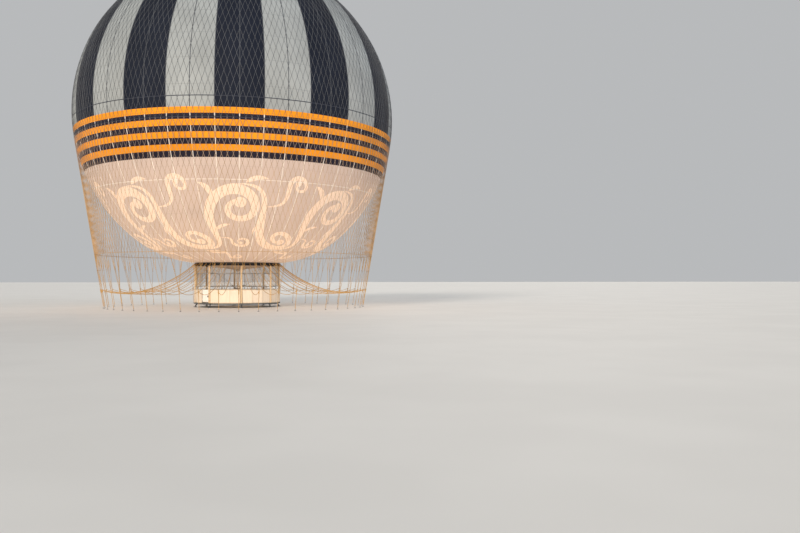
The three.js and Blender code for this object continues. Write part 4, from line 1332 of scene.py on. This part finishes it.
class AddPosts(bpy.types.Operator):
    """Adds the padded sleeves of the suspension posts with their straps and buckles."""

    bl_idname = "balloon.add_posts"
    bl_label = "Post sleeves"

    def execute(self, context):
        look = context.scene.balloon_gondola
        low, high = heights_of("suspension_post_1")
        low, high = low + 0.004, high - 0.002
        tone = context.scene.balloon_colours.sleeve
        vinyl = sleeve_vinyl("sleeve_vinyl", tone)
        strap = tape_webbing("sleeve_strap", tone)
        straps = np.linspace(low + 0.2, high - 0.16, 7)
        rows, sides = 120, 32
        z = np.linspace(low, high, rows)
        turn = np.arange(sides) * TURN / sides
        row, corner = np.divmod(grid_faces(rows, sides + 1), sides + 1)
        skin = row * sides + corner % sides
        rim = np.arange(sides)
        caps = np.stack([rim[::-1], (rows - 1) * sides + rim])
        for index, azimuth in enumerate(post_azimuths()):
            shape = Shape()
            centre = polar(POST_RING, azimuth, 0.0)
            radius = self.radius(look.sleeve, z[:, None], turn, straps, index)
            places = centre + polar(radius, turn, z[:, None])
            uv = np.stack(np.broadcast_arrays(turn / TURN, z[:, None]), -1).reshape(-1, 2)
            shape.add(places[::-1], skin, uv)
            shape.close(caps, rows * sides)
            for height in straps:
                band = look.sleeve - 0.0055
                lathed(shape, centre, [
                    (band - 0.003, height - 0.014), (band + 0.003, height - 0.013),
                    (band + 0.003, height + 0.013), (band - 0.003, height + 0.014),
                ], sides, 1)
                buckle = centre + polar(band + 0.004, azimuth, height)
                half = sideways(azimuth) * 0.018
                beams(shape, buckle - half, buckle + half, 0.006, 0.034, outward(azimuth), 0.001, 2)
            buckles = metal(f"buckle_{index + 1}", STEEL_DARK)
            piece = shape.made(f"post_sleeve_{index + 1}", vinyl, strap, buckles)
            settle(piece, "root", "rope_sleeve", f"suspension_post_{index + 1}")
        return {"FINISHED"}

    def radius(self, sleeve, z, turn, straps, index):
        """Radius of a sleeve at heights and turns. It puffs out by the root of the way to the next strap, is
        drawn in at both ends and has shallow folds where two sine waves that wind round it meet."""
        gap = np.abs(z - straps).min(1, keepdims=True)
        puffed = sleeve - 0.006 + 0.0055 * np.clip(gap / 0.14, 0, 1) ** 0.5
        puffed = puffed * np.clip(np.minimum(z - z[0], z[-1] - z) / 0.012 + 0.72, 0, 1)
        fold = np.sin(4 * turn + 23 * z + index) * np.sin(3 * turn - 31 * z + 2 * index)
        return puffed - 0.0022 * (0.5 + 0.5 * fold) * np.clip(gap / 0.05, 0, 1)


class AddParapets(bpy.types.Operator):
    """Adds the parapet panels with their battens, binding and eyelets."""

    bl_idname = "balloon.add_parapets"
    bl_label = "Parapets"

    def execute(self, context):
        cloth = panel_vinyl("parapet_cloth", context.scene.balloon_colours.parapet)
        batten = panel_vinyl("parapet_batten", BATTEN)
        eyelet = metal("eyelet_brass", BRASS, 0.35)
        inner, outer = PARAPET_OUTER - 0.03, PARAPET_OUTER - 0.003
        outline = slab_outline(inner, outer, PARAPET_BOTTOM + 0.003, PARAPET_TOP)
        for index, (start, modules) in enumerate(section_spans()):
            shape = Shape()
            seams = start + np.arange(modules + 1) * MODULE_STEP
            lows = seams[:-1] + 0.0014
            highs = seams[1:] - 0.0014
            lows[0] = start + POST_MARGIN
            highs[-1] = seams[-1] - (POST_MARGIN if modules == SECTION else 0.002)
            way = np.linspace(0, 1, 15)
            spans = lows[:, None] + (highs - lows)[:, None] * way
            walled(shape, spans, outline, 0.006)
            self.trims(shape, spans, outer, seams[1:modules])
            piece = shape.made(f"parapet_panels_{index + 1}", cloth, batten, eyelet)
            settle(piece, "root", "parapet_panel", f"parapet_{index + 1}")
        return {"FINISHED"}

    def trims(self, shape, spans, outer, seams):
        """A bound top edge and hem, a batten over each joint and eyelets under the binding."""
        out = outer + 0.0012
        binding = [
            (out - 0.012, PARAPET_TOP - 0.045), (out, PARAPET_TOP - 0.044), (out, PARAPET_TOP - 0.016),
            (out - 0.006, PARAPET_TOP - 0.006), (out - 0.012, PARAPET_TOP - 0.012),
        ]
        walled(shape, spans, binding, slot=1)
        low = PARAPET_BOTTOM
        hem = [(out - 0.012, low + 0.01), (out, low + 0.012), (out, low + 0.05), (out - 0.012, low + 0.051)]
        walled(shape, spans, hem, slot=1)
        if len(seams):
            feet = polar(outer - 0.001, seams, PARAPET_BOTTOM + 0.055)
            heads = polar(outer - 0.001, seams, PARAPET_TOP - 0.05)
            beams(shape, feet, heads, 0.034, 0.007, outward(seams), 0.002, 1)
        ways = np.array([1, 4, 7, 10, 13])
        azimuth = spans[:, ways].ravel()
        for height in (PARAPET_TOP - 0.03, PARAPET_BOTTOM + 0.032):
            middle = polar(facet(out + 0.0005, azimuth), azimuth, height)
            links(shape, middle, sideways(azimuth), outward(azimuth), 0.009, 0.009, 0.0025, 10, 4, 2)


class AddRailings(bpy.types.Operator):
    """Adds the tubular railings with their stanchions, flanges, clamps and gate hinge brackets."""

    bl_idname = "balloon.add_railings"
    bl_label = "Railings"

    def execute(self, context):
        look = context.scene.balloon_gondola
        finish = metal("railing_aluminium", ALUMINIUM, 0.4)
        for index, (start, modules) in enumerate(section_spans()):
            shape = Shape()
            corners = start + np.arange(SECTION + 1) * MODULE_STEP
            full = corners.copy()
            full[0] += POST_MARGIN
            full[-1] -= POST_MARGIN
            hand = full[: modules + 1]
            rails = ((HANDRAIL, look.tube, hand), (UPPER_RAIL, look.stanchion, full))
            for height, radius, azimuth in rails:
                path = polar(facet(RAIL_RADIUS, azimuth), azimuth, height)
                tubes(shape, path[None], radius, 16)
                self.tab(shape, path[0], azimuth[0], -1)
                if len(azimuth) > SECTION:
                    self.tab(shape, path[-1], azimuth[-1], 1)
            stands = corners[1:SECTION]
            feet = polar(RAIL_RADIUS, stands, FLOOR + 0.0004)
            heads = polar(RAIL_RADIUS, stands, UPPER_RAIL)
            rods(shape, feet, heads, look.stanchion, 16, outward(stands)[:, None])
            for foot, stand in zip(feet, stands):
                lathed(shape, foot, [
                    (0.0, 0.0), (0.046, 0.0), (0.046, 0.008), (0.04, 0.01), (0.028, 0.012), (0.024, 0.04),
                    (0.0, 0.04),
                ], 20)
                angles = ring_azimuths(4, stand + math.pi / 4)
                bolts(shape, foot + polar(0.036, angles, 0.009), UP, 0.006, 0.006)
                for height in (HANDRAIL, UPPER_RAIL):
                    sleeve = foot * [1, 1, 0] + UP * (height - 0.05)
                    lathed(shape, sleeve, [(0.0, 0.0), (0.026, 0.0), (0.026, 0.05), (0.0, 0.05)], 16)
            for corner in corners[1:modules]:
                self.clamp(shape, corner, HANDRAIL, look.tube)
            if modules < SECTION:
                self.brackets(shape, corners[modules])
            piece = shape.made(f"railing_tubes_{index + 1}", finish)
            settle(piece, "root", "aluminium", f"railing_{index + 1}")
        return {"FINISHED"}

    def tab(self, shape, end, azimuth, way):
        """A flattened tab from a rail's end towards the post."""
        along = sideways(azimuth) * way
        beams(shape, end - along * 0.02, end + along * 0.006, 0.012, 0.03, outward(azimuth), 0.002)

    def clamp(self, shape, azimuth, height, radius):
        """A cast sleeve round the rail where it turns a corner."""
        turn = azimuth + np.array([-0.022, 0, 0.022])
        path = polar(facet(RAIL_RADIUS, turn), turn, height)
        tubes(shape, path[None], radius + 0.005, 16)

    def brackets(self, shape, azimuth):
        """The fixed halves of the gate's hinges: a leg from the stanchion, an arm and an eye."""
        origin, along, inward = hinge_frame(azimuth)
        for height in HINGE_HEIGHTS:
            middle = origin + UP * (height - 0.0353)
            leg = middle - along * 0.049
            beams(shape, leg - inward * 0.005, leg + inward * 0.045, 0.024, 0.01, bevel=0.002)
            beams(shape, middle - along * 0.058, middle + along * 0.002, 0.024, 0.0098, bevel=0.002)
            lathed(shape, middle, [
                (0.0, -0.005), (0.0138, -0.005), (0.015, -0.004),
                (0.015, 0.004), (0.0138, 0.005), (0.0, 0.005),
            ], 20)


def hinge_frame(azimuth):
    """The hinge axis of the gate whose module starts at an azimuth, the direction along the closed leaf and
    the direction inwards."""
    middle = azimuth + MODULE_STEP / 2
    along = sideways(middle)
    return polar(FACE_MIDDLE, azimuth, 0.0) + along * GATE_INSET, along, -outward(middle)


class AddGates(bpy.types.Operator):
    """Adds the two gates: tube frame, panel, hinge barrels and latch."""

    bl_idname = "balloon.add_gates"
    bl_label = "Gates"

    def execute(self, context):
        tone = context.scene.balloon_colours.gate
        cloth = panel_vinyl("gate_cloth", tone)
        tube = powder_coat("gate_tube_coat", tone)
        dark = metal("latch_steel", STEEL_DARK, 0.5)
        grip = rubber("latch_grip", RUBBER)
        bottom = heights_of("gate_front")[0]
        end = 2 * FACE_MIDDLE * math.sin(MODULE_STEP / 2) - GATE_INSET - GATE_FREE
        for name, module in GATES:
            shape = Shape()
            origin, along, inward = hinge_frame(MODULE_START + module * MODULE_STEP)

            def at(x, y, z):
                """The place x along the leaf from its hinge axis, y inwards and z up."""
                return origin + along * x + inward * y + UP * z

            low, high = bottom + GATE_TUBE, HANDRAIL - GATE_TUBE
            left, right, bend = LEAF_START + GATE_TUBE, end - GATE_TUBE, 0.05
            turn = np.linspace(0, math.pi / 2, 7)
            outline = [
                at(x + bend * math.cos(angle) * sign_x, 0.0, z + bend * math.sin(angle) * sign_z)
                for x, z, sign_x, sign_z, order in (
                    (right - bend, high - bend, 1, 1, 1), (left + bend, high - bend, -1, 1, -1),
                    (left + bend, low + bend, -1, -1, 1), (right - bend, low + bend, 1, -1, -1),
                )
                for angle in turn[::order]
            ]
            tubes(shape, [outline], GATE_TUBE, 14, inward, closed=True)
            head = PARAPET_TOP - 0.011
            rods(shape, at(left, 0, head), at(right, 0, head), 0.011, 12)
            self.panel(shape, at, left + 0.012, right - 0.012, low + 0.012, head - 0.009)
            for height in HINGE_HEIGHTS:
                lathed(shape, at(0, 0, height), [
                    (0.0, -0.03), (0.011, -0.03), (0.012, -0.029),
                    (0.012, 0.029), (0.011, 0.03), (0.0, 0.03),
                ], 20)
                beams(shape, at(0.002, 0, height), at(0.032, 0, height), 0.05, 0.0098, inward, 0.002)
            self.latch(shape, at, end, inward)
            piece = shape.made(f"{name}_leaf", tube, cloth, dark, grip)
            settle(piece, name, "parapet_panel", name)
        return {"FINISHED"}

    def panel(self, shape, at, left, right, low, high):
        """A cloth panel laced into the frame, both faces a little proud in their middle."""
        across, up = np.linspace(0, 1, 13), np.linspace(0, 1, 17)
        x = left + (right - left) * across
        z = high + (low - high) * up
        stand = 0.006 + 0.006 * np.sin(math.pi * up)[:, None] * np.sin(math.pi * across)
        edge = np.minimum(np.minimum(across, 1 - across), np.minimum(up, 1 - up)[:, None]) > 0
        stand = np.where(edge, stand, 0.0)
        faces = grid_faces(len(up), len(across))
        for side in (-1, 1):
            places = np.array([[at(a, side * s, b) for a, s in zip(x, row)] for b, row in zip(z, stand)])
            shape.add(places, faces if side < 0 else faces[:, ::-1], slot=1)

    def latch(self, shape, at, end, inward):
        """The dark latch case on the inside of the leaf, the grip plate outside, the lever and the bolt."""
        height = HANDRAIL - LATCH_BELOW
        case = at(end - 0.094, 0.022, height), at(end - 0.006, 0.022, height)
        beams(shape, *case, 0.118, 0.032, inward, 0.006, 2)
        plate = at(end - 0.1, -0.019, height), at(end, -0.019, height)
        beams(shape, *plate, 0.12, 0.01, inward, 0.002, 3)
        bends = ((0.05, 0.042, 0.02), (0.11, 0.05, 0.016), (0.15, 0.05, 0.008))
        lever = [at(end - back, depth, height + rise) for back, depth, rise in bends]
        tubes(shape, [lever], np.array([0.008, 0.007, 0.006]), 8, slot=3)
        rods(shape, at(end - 0.01, 0.02, height), at(end + 0.012, 0.02, height), 0.008, 10, slot=2)


class AddInnerGuard(bpy.types.Operator):
    """Adds the low wall and handrail round the open centre of the deck."""

    bl_idname = "balloon.add_inner_guard"
    bl_label = "Inner guard"

    def execute(self, context):
        look = context.scene.balloon_gondola
        shape = Shape()
        inner, outer = GUARD_RADIUS - 0.025, GUARD_RADIUS
        starts = MODULE_START + np.arange(MODULES) * MODULE_STEP
        spans = starts[:, None] + MODULE_STEP * np.linspace(0.004, 0.996, 9)
        walled(shape, spans, slab_outline(inner, outer, FLOOR + 0.002, PARAPET_TOP, 8), -0.004)
        rail = GUARD_RADIUS + 0.028
        path = polar(rail, starts, HANDRAIL - look.stanchion)
        tubes(shape, path[None], look.stanchion, 14, closed=True, slot=1)
        stands = post_azimuths()
        feet = polar(GUARD_RADIUS + 0.024, stands, FLOOR + 0.0004)
        heads = polar(GUARD_RADIUS + 0.026, stands, HANDRAIL - look.stanchion)
        rods(shape, feet, heads, 0.018, 14, outward(stands)[:, None], slot=1)
        for foot in feet:
            lathed(shape, foot, [(0.0, 0.0), (0.04, 0.0), (0.04, 0.007), (0.022, 0.01), (0.0, 0.01)], 18, 1)
        cloth = panel_vinyl("guard_cloth", context.scene.balloon_colours.parapet)
        piece = shape.made("inner_guard_wall", cloth, metal("guard_aluminium", ALUMINIUM, 0.4))
        settle(piece, "root", "parapet_panel", "inner_guard")
        return {"FINISHED"}


class AddSafetyNetting(bpy.types.Operator):
    """Adds the safety netting from the handrail to the upper rail and from there to the load ring."""

    bl_idname = "balloon.add_safety_netting"
    bl_label = "Safety netting"

    def execute(self, context):
        look = context.scene.balloon_gondola
        cord = net_cord("safety_cord", context.scene.balloon_colours.netting)
        cells = round(MODULE_STEP * RAIL_RADIUS / look.netting)
        columns = cells * MODULES
        low, high = HANDRAIL + look.tube, UPPER_RAIL - look.stanchion
        gates = [MODULE_START + module * MODULE_STEP for _, module in GATES]

        def clear(column, row):
            """Which knots lie outside the gates' modules."""
            azimuth = (column * TURN / columns + MODULE_START + 0.001) % TURN
            return np.all([((azimuth - gate) % TURN) > MODULE_STEP for gate in gates], axis=0)

        lower = self.band(columns, low, high, RAIL_RADIUS, clear)
        settle(lower.made("safety_net_lower", cord), "root", "net_rope")
        fine = MODULES * (cells + 2)
        top = RING_BOTTOM - 0.002
        upper = self.band(fine, UPPER_RAIL + look.stanchion, top, POST_RING - 0.03)
        settle(upper.made("safety_net_upper", cord), "root", "net_rope")
        return {"FINISHED"}

    def band(self, columns, low, high, head_radius, keep=None):
        """A ring of diamond netting from a low to a high level, over the flat-sided ring of the rails."""
        mesh = TURN / columns * RAIL_RADIUS
        rows = 2 * round((high - low) / mesh)

        def place(column, row):
            """Places of knots over the rails."""
            azimuth = MODULE_START + column * TURN / columns
            way = row / rows
            radius = RAIL_RADIUS + (head_radius - RAIL_RADIUS) * way
            return polar(facet(radius, azimuth), azimuth, low + (high - low) * way)

        return diamonds(Shape(), columns, rows, place, 0.004, 3, keep=keep)


class AddBridle(bpy.types.Operator):
    """Adds the steel bridle ropes with their sockets, their plate and the fixed half of the swivel."""

    bl_idname = "balloon.add_bridle"
    bl_label = "Bridle"

    def execute(self, context):
        posts = post_azimuths()
        heads = polar(RING_INNER - 0.005, posts, RING_BOTTOM + 0.05)
        feet = polar(0.075, posts, SWIVEL_TOP + 0.045)
        way = np.linspace(0, 1, 40)[:, None]
        paths = heads[:, None] + (feet - heads)[:, None] * way
        side = sideways(posts)[:, None]
        shape = Shape()
        tubes(shape, paths, 0.008, 10, side)
        down = unit(feet - heads)[:, None]
        steps = np.array([0.0, 0.03, 0.05, 0.17, 0.2])[:, None]
        sockets = np.array([0.012, 0.022, 0.022, 0.014, 0.0095])
        tubes(shape, heads[:, None] + down * steps, sockets, 12, side, slot=1)
        tubes(shape, feet[:, None] - down * steps, sockets, 12, side, slot=1)
        bodies = np.array([0.0, 0.015, 0.03, 0.25, 0.265, 0.28])[:, None]
        shell = np.array([0.01, 0.021, 0.024, 0.024, 0.021, 0.01])
        tubes(shape, feet[:, None] - down * (0.28 + bodies), shell, 12, side, slot=1)
        low, high = heights_of("bridle")[0], SWIVEL_TOP + 0.06
        lathed(shape, AXIS, [
            (0.0, low), (0.105, low), (0.11, low + 0.005), (0.11, low + 0.02), (0.1, low + 0.028),
            (0.06, high - 0.012), (0.055, high - 0.002), (0.05, high), (0.0, high),
        ], 40, 1)
        bolts(shape, polar(0.09, ring_azimuths(12, shift=0.5), low + 0.026), UP, 0.009, 0.008, 1)
        steel = metal("bridle_steel", STEEL_GREY, 0.4)
        piece = shape.made("bridle_ropes", laid_rope("wire_rope", STEEL_GREY, 6.0, 0.12), steel)
        settle(piece, "root", "dark_steel", "bridle")
        low, high = heights_of("swivel_housing")
        housing = Shape()
        lathed(housing, AXIS, [
            (0.0, low), (0.08, low), (0.088, low + 0.004), (0.088, low + 0.05), (0.094, low + 0.054),
            (0.094, low + 0.07), (0.078, low + 0.076), (0.078, high - 0.04), (0.095, high - 0.03),
            (0.095, high - 0.004), (0.091, high), (0.0, high),
        ], 48)
        bolts(housing, polar(0.0865, ring_azimuths(12, shift=0.5), high - 0.031), -UP, 0.006, 0.006)
        nipple = polar(0.077, 0.4, (low + high) / 2)
        bolts(housing, nipple, outward(0.4), 0.006, 0.014)
        piece = housing.made("swivel_body", metal("swivel_steel", STEEL_DARK, 0.45))
        settle(piece, "root", "dark_steel", "swivel_housing")
        self.eye()
        return {"FINISHED"}

    def eye(self):
        """The turning half: a flanged disc and an eye plate with a flat foot. The plate's edge lies where the
        tenth powers of its width and height shares add up to one."""
        shape = Shape()
        top = heights_of("swivel_eye")[1]
        lathed(shape, AXIS, [
            (0.0, top - 0.09), (0.07, top - 0.09), (0.075, top - 0.085), (0.075, top - 0.004),
            (0.071, top), (0.0, top),
        ], 48)
        points = 64
        turn = np.arange(points) * TURN / points
        centre = np.array([0.0, 0.0, EYE_HEIGHT])
        across, up = np.cos(turn), np.sin(turn)
        tall = np.where(up < 0, centre[2] - SWIVEL_BOTTOM, 0.145)
        edge = ((np.abs(across) / 0.065) ** 10 + (np.abs(up) / tall) ** 10) ** -0.1
        out = np.stack([0 * turn, across, up], -1)[None]
        paths = np.broadcast_to(centre, out.shape)
        inner = np.full(points, EYE_HOLE)
        thick, bevel = 0.034, 0.005
        corner = [
            (inner + bevel, -thick), (edge - bevel, -thick), (edge, bevel - thick), (edge, thick - bevel),
            (edge - bevel, thick), (inner + bevel, thick), (inner, thick - bevel), (inner, bevel - thick),
        ]
        section = np.stack([np.stack(np.broadcast_arrays(a, b), -1) for a, b in corner], 1)[None]
        along = np.stack([0 * turn, -up, across], -1)[None]
        sweep(shape, paths, out, np.cross(along, out), section, True, smooth=False)
        piece = shape.made("swivel_eye_plate", metal("eye_steel", STEEL_DARK, 0.4))
        settle(piece, "swivel", "dark_steel", "swivel_eye")


class DressChassis(bpy.types.Operator):
    """Gives the deck and the chassis their finish and adds the pads' bolts and the toe board."""

    bl_idname = "balloon.dress_chassis"
    bl_label = "Chassis"

    def execute(self, context):
        for node, finish in (
            ("deck", tread_plate("deck_tread_plate", DECKING)),
            ("chassis", metal("chassis_zinc", ZINC, 0.5, 0.7)),
        ):
            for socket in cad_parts[node].material_slots:
                socket.material = finish
        posts = post_azimuths()
        pads = polar(PAD_RADIUS, posts, GROUND + PAD_TOP)
        shape = Shape()
        turns = ring_azimuths(4)
        for pad, post in zip(pads, posts):
            bolts(shape, pad + polar(0.092, turns + post + math.pi / 4, 0.0), UP, 0.012, 0.014)
        piece = shape.made("pad_bolts", metal("pad_bolt_zinc", STEEL_GREY))
        settle(piece, "root", "dark_steel")
        kick = Shape()
        closed = np.delete(np.arange(MODULES), [module for _, module in GATES])
        spans = MODULE_START + MODULE_STEP * (closed[:, None] + np.array([0.003, 0.5, 0.997]))
        inner, outer, height = TOE_BOARD
        low = FLOOR + 0.0005
        walled(kick, spans, [(inner, low), (outer, low), (outer, low + height), (inner, low + height)])
        settle(kick.made("toe_board", metal("toe_board_aluminium", ALUMINIUM, 0.45)), "root", "aluminium")
        return {"FINISHED"}


class AddStage(bpy.types.Operator):
    """Adds the floor, the soft studio lights and the camera."""

    bl_idname = "balloon.add_stage"
    bl_label = "Stage"

    def execute(self, context):
        look = context.scene.balloon_stage
        shape = Shape()
        rows = np.linspace(-FLOOR_REACH, FLOOR_REACH, 9)
        x, y = np.meshgrid(rows, rows[::-1])
        height = np.full(x.shape, GROUND - 0.001)
        shape.add(np.stack([x, y, height], -1), grid_faces(len(rows), len(rows)))
        paint = Paint("studio_floor", 0.8)
        cloud = paint.spread(paint.noise(3.0, 2.0), 0.0, 1.0)
        tone = context.scene.balloon_colours.floor
        colour = paint.mixed(cloud, tone, shade(tone, 0.96))
        floor = shape.made("studio_floor", paint.done(colour))
        floor.visible_shadow = False
        world = bpy.data.worlds.new("studio")
        context.scene.world = world
        world.use_nodes = True
        sky = world.node_tree.nodes["Background"]
        sky.inputs["Color"].default_value = SKY
        sky.inputs["Strength"].default_value = SKY_STRENGTH
        context.scene.view_settings.view_transform = "Standard"
        for name, aim, energy, angle, code in LIGHTS:
            light = bpy.data.lights.new(name, "SUN")
            light.energy = energy
            light.angle = math.radians(angle)
            light.color = linear(code)[:3]
            sun = bpy.data.objects.new(name, light)
            sun.rotation_euler = Vector(aim).to_track_quat("-Z", "Y").to_euler()
            context.scene.collection.objects.link(sun)
        camera = bpy.data.objects.new("camera", bpy.data.cameras.new("camera"))
        camera.data.lens = look.lens
        camera.data.clip_end = VIEW_END
        camera.location = (0.0, -look.distance, look.height)
        level = math.cos(look.pitch)
        aim = Vector((math.sin(look.yaw) * level, math.cos(look.yaw) * level, math.sin(look.pitch)))
        camera.rotation_euler = aim.to_track_quat("-Z", "Y").to_euler()
        context.scene.collection.objects.link(camera)
        context.scene.camera = camera
        return {"FINISHED"}


STEPS = (
    AddStage, AddFabric, AddTapes, AddScrolls, AddNet, AddCurtain, AddLines, AddCrown, AddBellyPort,
    AddLoadRing, AddPosts, AddParapets, AddRailings, AddGates, AddInnerGuard, AddSafetyNetting, AddBridle,
    DressChassis,
)
LOOKS = (
    ("balloon_envelope", EnvelopeLook), ("balloon_net", NetLook), ("balloon_gondola", GondolaLook),
    ("balloon_colours", ColourLook), ("balloon_stage", StageLook),
)


class BalloonPanel(bpy.types.Panel):
    """Lists the steps, sizes and colours of the balloon."""

    bl_idname = "VIEW3D_PT_balloon"
    bl_label = "Captive balloon"
    bl_space_type = "VIEW_3D"
    bl_region_type = "UI"
    bl_category = "Balloon"

    def draw(self, context):
        for name, look in LOOKS:
            group = getattr(context.scene, name)
            for choice in look.__annotations__:
                self.layout.prop(group, choice)
        for step in STEPS:
            self.layout.operator(step.bl_idname)


def register():
    """Registers the property groups, the operators and the panel."""
    for name, look in LOOKS:
        bpy.utils.register_class(look)
        setattr(bpy.types.Scene, name, bpy.props.PointerProperty(type=look))
    for kind in (*STEPS, BalloonPanel):
        bpy.utils.register_class(kind)


def unregister():
    """Takes them away again, the last one first."""
    for kind in (BalloonPanel, *reversed(STEPS)):
        bpy.utils.unregister_class(kind)
    for name, look in reversed(LOOKS):
        delattr(bpy.types.Scene, name)
        bpy.utils.unregister_class(look)


def main():
    """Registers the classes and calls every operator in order."""
    register()
    for step in STEPS:
        group, name = step.bl_idname.split(".")
        getattr(getattr(bpy.ops, group), name)()


if __name__ == "__main__":
    main()
